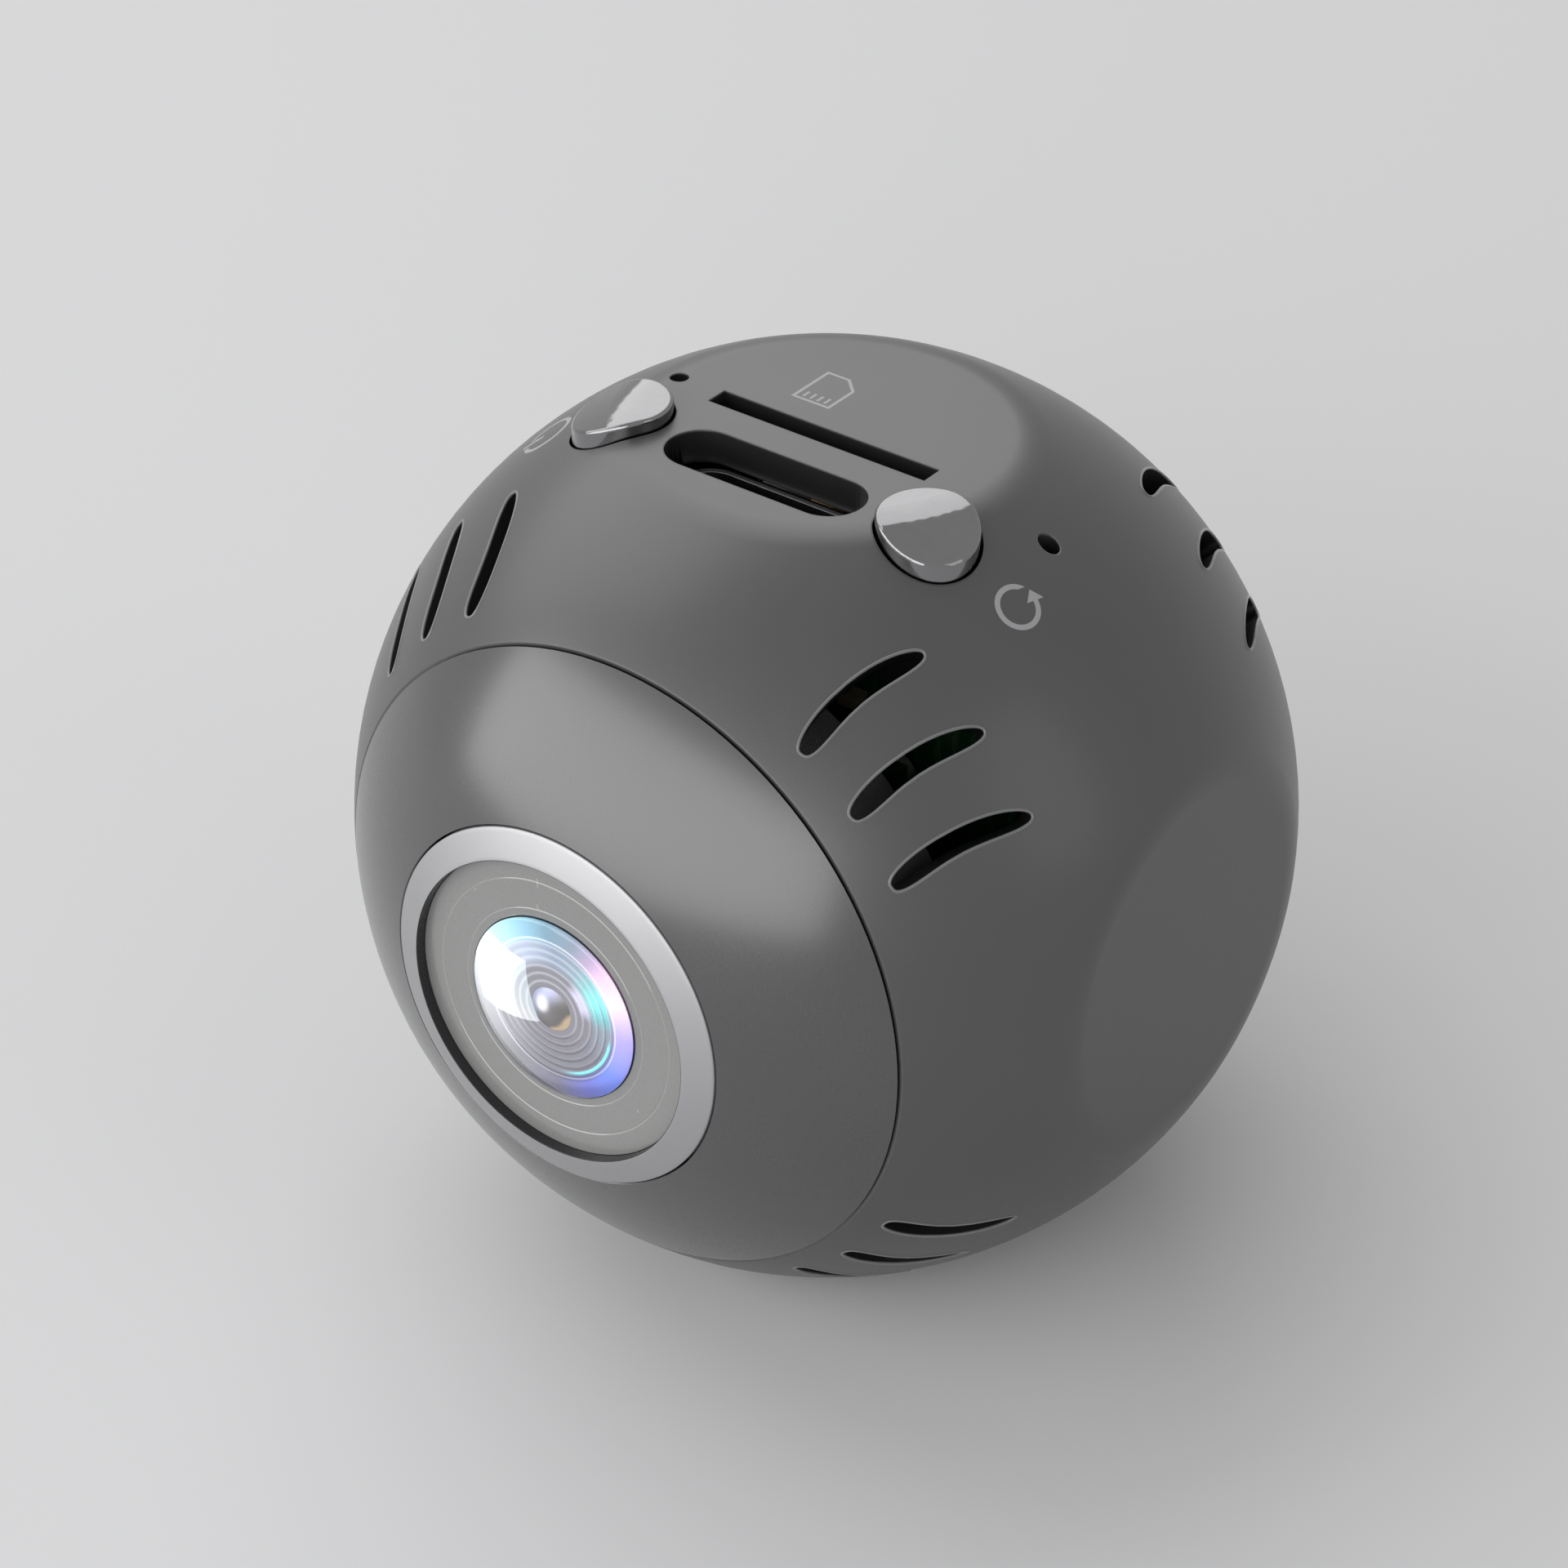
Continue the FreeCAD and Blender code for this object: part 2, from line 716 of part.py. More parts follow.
def main_shell(outer):
    half_slab = "seam_distance - seam_gap / 2"
    slab = block("shell_slab", ("-reach", "reach"), ("-(%s)" % half_slab, half_slab), ("-reach", "reach"))
    inner = ball_with_flats("shell_room", "ball_radius - wall", "flat_distance - wall")
    mouth = rod("shell_mouth", "mouth_radius", "Y", "-reach", "reach")
    skin = cut("shell_skin", common("shell_zone", outer, slab), inner, mouth)

    lug = front_lug("front_lug")
    rear_lug = tray_lug("tray_lug")
    catch = catch_lug("catch_lug")
    fittings = [lug, rear_lug, catch]
    for name, angle in FRONT_LUG_TURNS.items():
        fittings.append(turned_about_lens("front_lug_" + name, lug, angle))
    fittings.append(turned_about_lens("tray_lug_left", rear_lug, 180))
    fittings.append(turned_about_lens("catch_below", catch, 180))
    for name, x in BUTTONS.items():
        fittings.append(rod("sleeve_" + name, "button_radius + button_clearance + sleeve_wall", "Z",
                            "sleeve_end", "reach", (x, "-button_line")))
    mic_spot = ("mic_place", "-mic_line")
    fittings.append(rod("mic_cup", "mic_cup_radius", "Z", "mic_cup_end", "reach", mic_spot))
    grown = ball_with_flats("shell_grown_room", "ball_radius - wall + overlap",
                            "flat_distance - wall + overlap")
    inside = common("shell_fittings", fuse("shell_inner_parts", *fittings), grown)

    lug_holes = front_lug_holes("front_lug_holes")
    holes = [vents(), lug_holes]
    holes += [turned_about_lens("front_holes_" + name, lug_holes, angle)
              for name, angle in FRONT_LUG_TURNS.items()]
    tray_hole = rod("tray_hole", SCREW_HOLE, "Y",
                    "rear_lug_face + ear_thickness - tray_screw_length - hole_spare", "rear_lug_face + overlap",
                    ("tray_screw_place", "0"))
    holes += [tray_hole, turned_about_lens("tray_hole_left", tray_hole, 180)]
    under_flat = "flat_distance - wall - overlap"
    holes.append(stadium("port_hole", "port_length", "port_width", under_flat, "reach", y=USB_CENTRE))
    holes.append(block("card_slot", around("0", "slot_length"), around("-slot_centre", "slot_width"),
                       (under_flat, "reach")))
    for name, x in BUTTONS.items():
        holes.append(rod("well_" + name, "button_radius + button_clearance", "Z", "sleeve_end - overlap",
                         "reach", (x, "-button_line")))
    holes.append(rod("lamp_hole", "lamp_hole_radius", "Z", "sleeve_end", "reach",
                     ("-lamp_place", "-lamp_line")))
    holes.append(rod("mic_hole", "mic_hole_radius", "Z", "mic_cup_end", "reach", mic_spot))
    holes.append(rod("mic_pocket", "boot_radius + boot_clearance", "Z", "mic_cup_end - overlap",
                     "boot_top", mic_spot))
    finish("main_shell", cut("shell", fuse("shell_solid", skin, inside), group("shell_holes", *holes)))


LENS_CORNERS = [(x, z) for x in ("-lens_screw_place", "lens_screw_place")
                for z in ("-lens_screw_place", "lens_screw_place")]
COVER_SCREWS = [("cover_screw_place", "0"), ("-cover_screw_place", "0"), ("0", "-cover_screw_place")]
BOARD_SCREWS = [("board_screw_place", "0"), ("-board_screw_place", "0"), ("0", "-board_screw_place")]


def front_cover(outer):
    rim = "-(seam_distance + seam_gap / 2)"
    cap = block("cap_half", ("-reach", "reach"), ("-reach", rim), ("-reach", "reach"))
    skin = cut("cap_skin", common("cap_zone", outer, cap), ball("cap_room", "ball_radius - wall"))
    skirt = rod("front_skirt", "mouth_radius - skirt_clearance", "Y",
                "%s - overlap" % rim, "-front_skirt_end")
    skirt_room = rod("front_skirt_room", "mouth_radius - skirt_clearance - skirt_thickness", "Y",
                     "-reach", "0")
    seat = rod("bezel_seat", "bezel_radius + bezel_gap + seat_wall", "Y", "-(bezel_seat + seat_thickness)",
               "-(bezel_seat - seat_thickness)")
    parts = [skin, cut("front_skirt_ring", skirt, skirt_room), seat]
    tools = [rod("bezel_pocket", "bezel_radius + bezel_gap", "Y", "-reach", "-bezel_seat"),
             rod("bezel_ledge_hole", "lens_head_radius + bezel_clearance", "Y", "-reach", "-overlap")]
    lens_hole_end = "-(holder_back - sensor_board_thickness + lens_screw_length + hole_spare)"
    for number, spot in enumerate(LENS_CORNERS, start=1):
        parts.append(rod("lens_boss_%d" % number, "boss_radius", "Y", "-(bezel_seat - overlap)",
                         "-holder_front", spot))
        tools.append(rod("lens_boss_hole_%d" % number, SCREW_HOLE, "Y", lens_hole_end,
                         "-(holder_front - overlap)", spot))
    cover_hole_end = "-(front_lug_face - lug_thickness + cover_screw_length + hole_spare)"
    for number, spot in enumerate(COVER_SCREWS, start=1):
        parts.append(rod("cover_boss_%d" % number, "boss_radius", "Y", "-(seam_distance + overlap)",
                         "-front_lug_face", spot))
        tools.append(rod("cover_boss_hole_%d" % number, SCREW_HOLE, "Y", cover_hole_end,
                         "-(front_lug_face - overlap)", spot))
    finish("front_cover", cut("front_cap", fuse("cap_solid", *parts), group("cap_holes", *tools)))


def rear_cover(outer):
    rim = "seam_distance + seam_gap / 2"
    half = block("rear_half", ("-reach", "reach"), (rim, "reach"), ("-reach", "reach"))
    room = ball_with_flats("rear_room", "ball_radius - wall", "flat_distance - wall")
    skin = cut("rear_skin", common("rear_zone", outer, half), room)
    skirt = rod("rear_skirt", "mouth_radius - skirt_clearance", "Y", "rear_skirt_end", "%s + overlap" % rim)
    skirt_room = rod("rear_skirt_room", "mouth_radius - skirt_clearance - skirt_thickness", "Y",
                     "0", "reach")
    parts = [skin, cut("rear_skirt_ring", skirt, skirt_room)]
    for name, sign in (("top", ""), ("below", "-")):
        span = (sign + "arm_inner", sign + "(arm_inner + arm_thickness)")
        hook = (sign + "(arm_inner + overlap)", sign + "(arm_inner + arm_thickness + hook_reach)")
        root = (sign + "arm_inner", sign + "(mouth_radius - skirt_clearance - skirt_thickness / 2)")
        if sign:
            span, hook, root = span[::-1], hook[::-1], root[::-1]
        width = ("-arm_half_width", "arm_half_width")
        parts.append(block("arm_" + name, width, ("arm_end", "rear_skirt_end + skirt_thickness"), span))
        parts.append(block("arm_hook_" + name, width, ("arm_end", "arm_end + hook_length"), hook))
        parts.append(block("arm_root_" + name, width,
                           ("rear_skirt_end", "rear_skirt_end + skirt_thickness"), root))
    foam_back = "battery_front + battery_thickness + foam_thickness"
    wall_inside = "flat_distance - wall + overlap"
    parts.append(block("rib_level", ("-rib_half_length", "rib_half_length"), (foam_back, wall_inside),
                       ("-rib_thickness / 2", "rib_thickness / 2")))
    parts.append(block("rib_upright", ("-rib_thickness / 2", "rib_thickness / 2"), (foam_back, wall_inside),
                       ("-rib_half_length", "rib_half_length")))
    finish("rear_cover", fuse("rear_cap", *parts))


# Lens

def lens_bezel():
    """A ring whose front lies in the ball's surface."""
    ring = rod("bezel_ring", "bezel_radius", "Y", "-reach", "-bezel_seat")
    hole = rod("bezel_bore", "lens_head_radius + bezel_clearance", "Y", "-reach", "0")
    finish("lens_bezel", common("bezel", cut("bezel_tube", ring, hole), ball("bezel_ball", "ball_radius")))


def lens_barrel():
    bore = "element_radius + element_gap"
    flange_bore = "glass_flange_radius + element_gap"
    head_front = "-(face_distance - face_thickness)"
    finish("lens_barrel", turned("barrel", [
        (bore, "-thread_end"), (bore, "-glass_back"),
        (flange_bore, "-glass_back"), (flange_bore, head_front),
        ("lens_head_radius", head_front), ("lens_head_radius", "-lens_head_end"),
        ("thread_radius", "-lens_head_end"), ("thread_radius", "-thread_end")]))


def lens_trim():
    """The face ring, which holds the front glass by its flange."""
    back = "-(face_distance - face_thickness)"
    hole = "glass_radius + element_gap"
    finish("lens_trim", turned("trim", [
        (hole, back), ("lens_head_radius", back),
        ("lens_head_radius", "-face_distance"), (hole, "-face_distance")]))


def front_lens():
    apex = "-(glass_rim + glass_rise)"
    dome = "(glass_radius ^ 2 + glass_rise ^ 2) / (2 * glass_rise)"
    hollow_depth = "glass_hollow_curve - sqrt(glass_hollow_curve ^ 2 - glass_hollow_radius ^ 2)"
    shoulder = "-(face_distance - face_thickness - element_gap)"
    finish("front_lens", turned("front_glass", [
        ("0", apex, "-(%s)" % dome), ("glass_radius", "-glass_rim"), ("glass_radius", shoulder),
        ("glass_flange_radius", shoulder), ("glass_flange_radius", "-glass_back"),
        ("glass_hollow_radius", "-glass_back", "glass_hollow_curve"),
        ("0", "-(glass_back + %s)" % hollow_depth)]))


def inner_baffle():
    """A stepped cone that narrows from the front glass to the middle lens."""
    steps = int(SIZES["baffle_steps"])
    length = "(glass_back - element_gap - baffle_end)"
    front = "-(glass_back - element_gap)"
    points = [("element_radius", "-baffle_end"), ("element_radius", front), ("baffle_mouth", front)]
    for step in range(1, steps + 1):
        depth = "%s + %s * %d / %d" % (front, length, step, steps)
        radius = "baffle_mouth - (baffle_mouth - baffle_throat) * %d / %d"
        points.append((radius % (step - 1, steps), depth))
        if step < steps:
            points.append((radius % (step, steps), depth))
    finish("inner_baffle", turned("baffle", points))


def lens_element(name, front, back, curve):
    """A lens with two bulging faces, its rim a plain cylinder that fits the barrel."""
    bulge = "(%s - sqrt(%s ^ 2 - element_radius ^ 2))" % (curve, curve)
    finish(name, turned(name + "_glass", [
        ("0", "-(%s)" % front, "-%s" % curve), ("element_radius", "-(%s) + %s" % (front, bulge)),
        ("element_radius", "-(%s) - %s" % (back, bulge), "-%s" % curve), ("0", "-(%s)" % back)]))


def lens_ring(name, hole, front, back):
    """A flat ring that fills the barrel's bore."""
    finish(name, turned(name + "_ring", [
        (hole, "-(%s)" % back), ("element_radius", "-(%s)" % back),
        ("element_radius", "-(%s)" % front), (hole, "-(%s)" % front)]))


def holder_plate(name, front, back):
    """A square plate with the four holes of the lens screws."""
    half = "holder_width / 2"
    return plate(name, rectangle("-" + half, half, "-" + half, half), front, back,
                 [(x, z, SCREW_HOLE) for x, z in LENS_CORNERS])


def lens_holder():
    base = holder_plate("holder_base", "-holder_front", "-holder_back")
    tube = rod("holder_tube", "holder_tube_radius", "Y", "-holder_tube_end", "-(holder_front - overlap)")
    thread = rod("holder_thread", "thread_radius + thread_clearance", "Y", "-reach", "-thread_floor")
    eye = rod("holder_eye", "web_hole", "Y", "-reach", "0")
    cavity_half = "cavity_width / 2"
    cavity = block("holder_cavity", ("-" + cavity_half, cavity_half),
                   ("-(thread_floor - web_thickness)", "0"), ("-" + cavity_half, cavity_half))
    finish("lens_holder", cut("holder", fuse("holder_solid", base, tube), thread, eye, cavity))


def centred(name, width, front, back):
    """A square plate on the lens axis."""
    half = "(%s) / 2" % width
    return block(name, ("-" + half, half), (front, back), ("-" + half, half))


def sensor_parts():
    filter_front = "-(thread_floor - web_thickness)"
    finish("infrared_filter", centred("filter_glass", "filter_width", filter_front,
                                      "%s + filter_thickness" % filter_front))
    finish("image_sensor", centred("sensor_chip", "sensor_width", "-(holder_back + sensor_thickness)",
                                   "-holder_back"))
    finish("sensor_board", holder_plate("sensor_plate", "-holder_back",
                                        "-(holder_back - sensor_board_thickness)"))


# Screws

def screw(name, seat, length, spot):
    """A screw with its head behind the seat and its shank to the front."""
    x, z = spot
    head_back = "%s + screw_head_thickness" % seat
    shank = rod(name + "_shank", "screw_radius", "Y", "%s - %s" % (seat, length),
                "%s + screw_head_thickness / 2" % seat, spot)
    head = rod(name + "_head", "screw_head_radius", "Y", seat, head_back, spot)
    depth = ("%s - screw_recess_depth" % head_back, "%s + overlap" % head_back)
    long_side = "screw_recess_length / 2"
    thin_side = "screw_recess_width / 2"
    level = block(name + "_level", ("%s - %s" % (x, long_side), "%s + %s" % (x, long_side)), depth,
                  ("%s - %s" % (z, thin_side), "%s + %s" % (z, thin_side)))
    upright = block(name + "_upright", ("%s - %s" % (x, thin_side), "%s + %s" % (x, thin_side)), depth,
                    ("%s - %s" % (z, long_side), "%s + %s" % (z, long_side)))
    return cut(name, fuse(name + "_solid", shank, head), level, upright)


def screws():
    sets = {
        "lens_screws": ("-(holder_back - sensor_board_thickness)", "lens_screw_length", LENS_CORNERS),
        "cover_screws": ("-(front_lug_face - lug_thickness)", "cover_screw_length", COVER_SCREWS),
        "board_screws": ("-(board_front - board_thickness)", "board_screw_length", BOARD_SCREWS),
        "tray_screws": ("rear_lug_face + ear_thickness", "tray_screw_length",
                        [("tray_screw_place", "0"), ("-tray_screw_place", "0")]),
    }
    for name, (seat, length, spots) in sets.items():
        finish(name, group(name + "_set", *[screw("%s_%d" % (name, number), seat, length, spot)
                                            for number, spot in enumerate(spots, start=1)]))


# Boards and what they carry

BOARD_BACK = "-(board_front - board_thickness)"


def main_board():
    """A round board that passes the shell's mouth and then sits a little higher."""
    body = doc.addObject("PartDesign::Body", "board")
    sketch = sketch_on(body, "XZ_Plane", "-(%s)" % BOARD_BACK)
    circle(sketch, "0", "board_rise", "board_radius")
    for x, z in BOARD_SCREWS:
        circle(sketch, x, z, SCREW_HOLE)
    pad = body.newObject("PartDesign::Pad", "board_pad")
    pad.Profile = sketch
    bind(pad, "Length", "board_thickness")
    finish("main_board", body)


def usb_connector():
    low = "usb_mouth - usb_length"
    inner_length = "usb_width - 2 * usb_wall"
    inner_height = "usb_height - 2 * usb_wall"
    outside = stadium("usb_outside", "usb_width", "usb_height", low, "usb_mouth", y=USB_CENTRE)
    inside = stadium("usb_inside", inner_length, inner_height, "%s - overlap" % low, "usb_mouth + overlap",
                     y=USB_CENTRE)
    finish("usb_shell", cut("usb_tube", outside, inside))
    floor_top = "%s + usb_floor" % low
    floor = stadium("usb_floor_block", inner_length, inner_height, low, floor_top, y=USB_CENTRE)
    tongue = block("usb_blade", ("-tongue_width / 2", "tongue_width / 2"),
                   ("%s - tongue_thickness / 2" % USB_CENTRE, "%s + tongue_thickness / 2" % USB_CENTRE),
                   (low, "%s + tongue_length" % floor_top))
    finish("usb_tongue", fuse("usb_plastic", floor, tongue))
    strips = []
    strip_low = "%s + usb_contact_thickness" % floor_top
    for side, sign in (("front", "-"), ("rear", "+")):
        face = "%s %s tongue_thickness / 2" % (USB_CENTRE, sign)
        away = "%s %s usb_contact_thickness" % (face, sign)
        depth = (away, face) if sign == "-" else (face, away)
        for number, x in enumerate(row_of("usb_contacts", "usb_contact_pitch"), start=1):
            strips.append(block("usb_%s_%d" % (side, number), around(x, "usb_contact_width"), depth,
                                (strip_low, "%s + usb_contact_length" % strip_low)))
    finish("usb_contacts", group("usb_strips", *strips))


def card_reader():
    half = "card_width / 2"
    room_front = "%s + card_base_thickness" % BOARD_BACK
    room_back = "%s + card_room" % room_front
    base = block("card_floor", ("-" + half, half), (BOARD_BACK, room_front), ("card_bottom", "card_top"))
    inside = "%s - card_cover_thickness" % half
    stop = block("card_end_stop", ("-(%s)" % inside, inside), (BOARD_BACK, room_back),
                 ("card_bottom", "card_bottom + card_stop"))
    finish("card_base", fuse("card_base_solid", base, stop))
    roof_outside = "%s + card_cover_thickness" % room_back
    roof = block("card_roof", ("-" + half, half), (room_front, roof_outside), ("card_bottom", "card_top"))
    room = block("card_room", ("-(%s)" % inside, inside), ("%s - overlap" % room_front, room_back),
                 ("card_bottom - overlap", "card_top + overlap"))
    finish("card_cover", cut("card_metal", roof, room))
    strips = [block("card_contact_%d" % number, around(x, "card_contact_width"),
                    (room_front, "%s + card_contact_thickness" % room_front),
                    ("card_contact_bottom", "card_contact_bottom + card_contact_length"))
              for number, x in enumerate(row_of("card_contacts", "card_contact_pitch"), start=1)]
    finish("card_contacts", group("card_strips", *strips))


def chips():
    rows = ("chip_bottom", "chip_top")
    processor = ("processor_left", "processor_right")
    processor_back = "%s + processor_thickness" % BOARD_BACK
    pad_back = "%s + pad_thickness" % processor_back
    finish("processor", block("processor_chip", processor, (BOARD_BACK, processor_back), rows))
    finish("thermal_pad", block("soft_pad", processor, (processor_back, pad_back), rows))
    sink_back = "%s + sink_thickness" % pad_back
    sink_rows = ("chip_bottom - sink_margin", "chip_top + sink_margin")
    sink = block("sink_plate", ("processor_left - sink_margin", "processor_right + sink_margin"),
                 (pad_back, sink_back), sink_rows)
    sink_middle = "(processor_left + processor_right) / 2"
    grooves = [block("sink_groove_%d" % number, around("%s + %s" % (sink_middle, x), "sink_groove"),
                     ("%s - sink_groove_depth" % sink_back, "%s + overlap" % sink_back),
                     ("%s - overlap" % sink_rows[0], "%s + overlap" % sink_rows[1]))
               for number, x in enumerate(row_of("sink_grooves", "sink_groove_pitch"), start=1)]
    finish("heat_sink", cut("sink", sink, *grooves))
    finish("wireless_module", block("wireless_can", ("wireless_left", "wireless_right"),
                                    (BOARD_BACK, "%s + wireless_thickness" % BOARD_BACK), rows))
    finish("memory_chip", block("memory_block", ("memory_left", "memory_right"),
                                ("-board_front - memory_thickness", "-board_front"),
                                ("memory_bottom", "memory_top")))
    pieces = [block("small_part_%d" % number, around(x, "small_part_length"),
                    ("-board_front - small_part_height", "-board_front"),
                    ("small_part_row", "small_part_row + small_part_width"))
              for number, x in enumerate(row_of("small_parts", "small_part_pitch"), start=1)]
    finish("board_parts", group("small_parts_row", *pieces))


def sensor_ribbon():
    """A flat ribbon and its two connectors, one on each board."""
    sensor_back = "-(holder_back - sensor_board_thickness)"
    finish("sensor_connector", block("sensor_clip", around("0", "connector_width"),
                                     (sensor_back, "%s + connector_height" % sensor_back),
                                     ("sensor_connector_bottom",
                                      "sensor_connector_bottom + connector_length")))
    finish("board_connector", block("board_clip", around("0", "connector_width"),
                                    ("-board_front - connector_height", "-board_front"),
                                    ("board_connector_top - connector_length", "board_connector_top")))
    start = "%s + connector_height / 2" % sensor_back
    end = "-board_front - connector_height / 2"
    body = doc.addObject("PartDesign::Body", "ribbon")
    sketch = sketch_on(body, "YZ_Plane", "-ribbon_width / 2")
    half_thick = "ribbon_thickness / 2"
    path = [(start, "sensor_connector_bottom"), (start, "sensor_connector_bottom - ribbon_straight"),
            (end, "board_connector_top + ribbon_straight"), (end, "board_connector_top")]
    outline(sketch, [("%s - %s" % (y, half_thick), z) for y, z in path]
            + [("%s + %s" % (y, half_thick), z) for y, z in path[::-1]])
    pad = body.newObject("PartDesign::Pad", "ribbon_pad")
    pad.Profile = sketch
    bind(pad, "Length", "ribbon_width")
    finish("sensor_ribbon", body)


# Buttons, switches, lamp and microphone

def button(name, x):
    """A cap that stands proud of the ball and follows it, with tabs under its sleeve and a stem."""
    proud = ball_with_flats(name + "_proud_ball",
                            "ball_radius + button_proud", "flat_distance + button_proud",
                            "flat_blend")
    tab_top = "sleeve_end - stop_gap"
    tab_bottom = "%s - tab_thickness" % tab_top
    column = rod(name + "_column", "button_radius", "Z", "%s - overlap / 2" % tab_top, "reach",
                 (x, "-button_line"))
    cap = common(name + "_head", column, proud)
    doc.recompute()
    rounded = doc.addObject("Part::Fillet", name + "_rounded")
    rounded.Base = cap
    edge_size = value("button_edge")
    rounded.Edges = [(index + 1, edge_size, edge_size) for index, edge in enumerate(cap.Shape.Edges)
                     if edge.BoundBox.ZMax > value("sleeve_end") and touches_column(edge, value(x))]
    tabs = block(name + "_tabs", around(x, "tab_width"), around("-button_line", "tab_reach * 2"),
                 (tab_bottom, tab_top))
    stem = rod(name + "_stem", "stem_radius", "Z", "plunger_top", tab_top, (x, "-button_line"))
    finish(name + "_button", fuse(name + "_cap", rounded, tabs, stem))


def touches_column(edge, x):
    """Whether an edge lies on a button's round side."""
    middle = edge.valueAt((edge.FirstParameter + edge.LastParameter) / 2)
    distance = math.hypot(middle.x - x, middle.y + value("button_line"))
    straight = isinstance(edge.Curve, Part.Line)
    return abs(distance - value("button_radius")) < 0.001 and not straight


def switch(name, x):
    """A tact switch at the board's front, with the plunger that the button's stem presses."""
    top = "switch_bottom + switch_height"
    body = block(name + "_switch_block", around(x, "switch_width"),
                 ("-board_front - switch_depth", "-board_front"), ("switch_bottom", top))
    hole = block(name + "_switch_hole", around(x, "plunger_width + 2 * plunger_clearance"),
                 around("-button_line", "plunger_depth + 2 * plunger_clearance"),
                 ("plunger_bottom - button_travel - plunger_clearance", "%s + overlap" % top))
    finish(name + "_switch", cut(name + "_switch_body", body, hole))
    finish(name + "_plunger", block(name + "_switch_plunger", around(x, "plunger_width"),
                                    around("-button_line", "plunger_depth"),
                                    ("plunger_bottom", "plunger_top")))


def lamp():
    """A lamp on the board's back and the clear pipe that brings its light to the small hole."""
    sides = around("-lamp_place", "led_width")
    led_top = "led_bottom + led_height"
    finish("status_led", block("led", sides, (BOARD_BACK, "%s + led_depth" % BOARD_BACK),
                               ("led_bottom", led_top)))
    pipe_bottom = "%s + pipe_clearance" % led_top
    foot = block("pipe_foot", sides, (BOARD_BACK, "pipe_foot_back"),
                 (pipe_bottom, "%s + pipe_foot_height" % led_top))
    pipe = rod("pipe_rod", "lamp_hole_radius - pipe_clearance", "Z", pipe_bottom, "pipe_top",
               ("-lamp_place", "-lamp_line"))
    finish("light_pipe", fuse("pipe", foot, pipe))


def microphone():
    spot = ("mic_place", "-mic_line")
    boot = rod("boot_outside", "boot_radius", "Z", "boot_bottom", "boot_top", spot)
    roof = "boot_top - boot_roof"
    pocket = rod("boot_inside", "capsule_radius + boot_clearance", "Z", "boot_bottom - overlap", roof, spot)
    hole = rod("boot_hole", "mic_hole_radius", "Z", "boot_bottom", "boot_top + overlap", spot)
    finish("microphone_boot", cut("boot", boot, pocket, hole))
    finish("microphone", rod("capsule", "capsule_radius", "Z", "%s - capsule_height" % roof, roof, spot))


# Battery

def cell_parts():
    """The pouch cell with round corners, and the foam behind it."""
    back = "battery_front + battery_thickness"
    cell = block("cell_block", around("0", "battery_width"), ("battery_front", back),
                 around("0", "battery_height"))
    doc.recompute()
    rounded = doc.addObject("Part::Fillet", "cell")
    rounded.Base = cell
    size = value("battery_round")
    rounded.Edges = [(index + 1, size, size) for index, edge in enumerate(cell.Shape.Edges)
                     if abs(edge.tangentAt(edge.FirstParameter).z) > 0.9]
    finish("battery", rounded)
    foam = around("0", "foam_width")
    finish("battery_pad", block("foam", foam, (back, "%s + foam_thickness" % back), foam))


def tray_parts():
    """An open box round the cell, with an ear on each side for its screw, and the antenna on top."""
    room_width = "battery_width + 2 * battery_clearance"
    room_height = "battery_height + 2 * battery_clearance"
    width = "%s + 2 * tray_wall" % room_width
    height = "%s + 2 * tray_wall" % room_height
    floor_back = "battery_front - element_gap"
    outside = block("tray_outside", around("0", width), ("%s - tray_floor" % floor_back, "tray_end"),
                    around("0", height))
    inside = block("tray_inside", around("0", room_width), (floor_back, "tray_end + overlap"),
                   around("0", room_height))
    ears = []
    holes = []
    for name, sign in (("right", ""), ("left", "-")):
        room_side = "%s(%s) / 2" % (sign, room_width)
        ear_span = (room_side, sign + "ear_reach")
        strip_span = (room_side, "%s(%s) / 2" % (sign, width))
        if sign:
            ear_span, strip_span = ear_span[::-1], strip_span[::-1]
        ears.append(block("ear_" + name, ear_span, ("rear_lug_face", "rear_lug_face + ear_thickness"),
                          around("0", "ear_width")))
        ears.append(block("ear_strip_" + name, strip_span, ("tray_end - overlap", "rear_lug_face + overlap"),
                          around("0", "ear_width")))
        holes.append(rod("ear_hole_" + name, SCREW_HOLE, "Y", "rear_lug_face - overlap",
                         "rear_lug_face + ear_thickness + overlap", (sign + "tray_screw_place", "0")))
    tray = fuse("tray_solid", cut("tray_box", outside, inside), *ears)
    finish("battery_tray", cut("tray", tray, *holes))
    tray_top = "(%s) / 2" % height
    finish("antenna", block("antenna_strip", around("0", "antenna_length"),
                            ("antenna_front", "antenna_front + antenna_width"),
                            (tray_top, "%s + antenna_thickness" % tray_top)))


def battery_plug():
    socket_back = "%s + plug_socket_height" % BOARD_BACK
    plug_back = "%s + plug_height" % socket_back
    finish("battery_socket", block("header", ("plug_socket_left", "plug_socket_right"),
                                   (BOARD_BACK, socket_back), ("plug_socket_bottom", "plug_socket_top")))
    finish("battery_plug", block("plug",
                                 ("plug_socket_left + plug_margin", "plug_socket_right - plug_margin"),
                                 (socket_back, plug_back),
                                 ("plug_socket_bottom + plug_margin", "plug_socket_top - plug_margin")))
    return "(%s + %s) / 2" % (socket_back, plug_back)


def quarter(centre, start, end):
    """A quarter circle between two points about a centre."""
    middle = centre + (start + end - centre * 2).normalize() * (start - centre).Length
    return Part.Arc(start, middle, end)


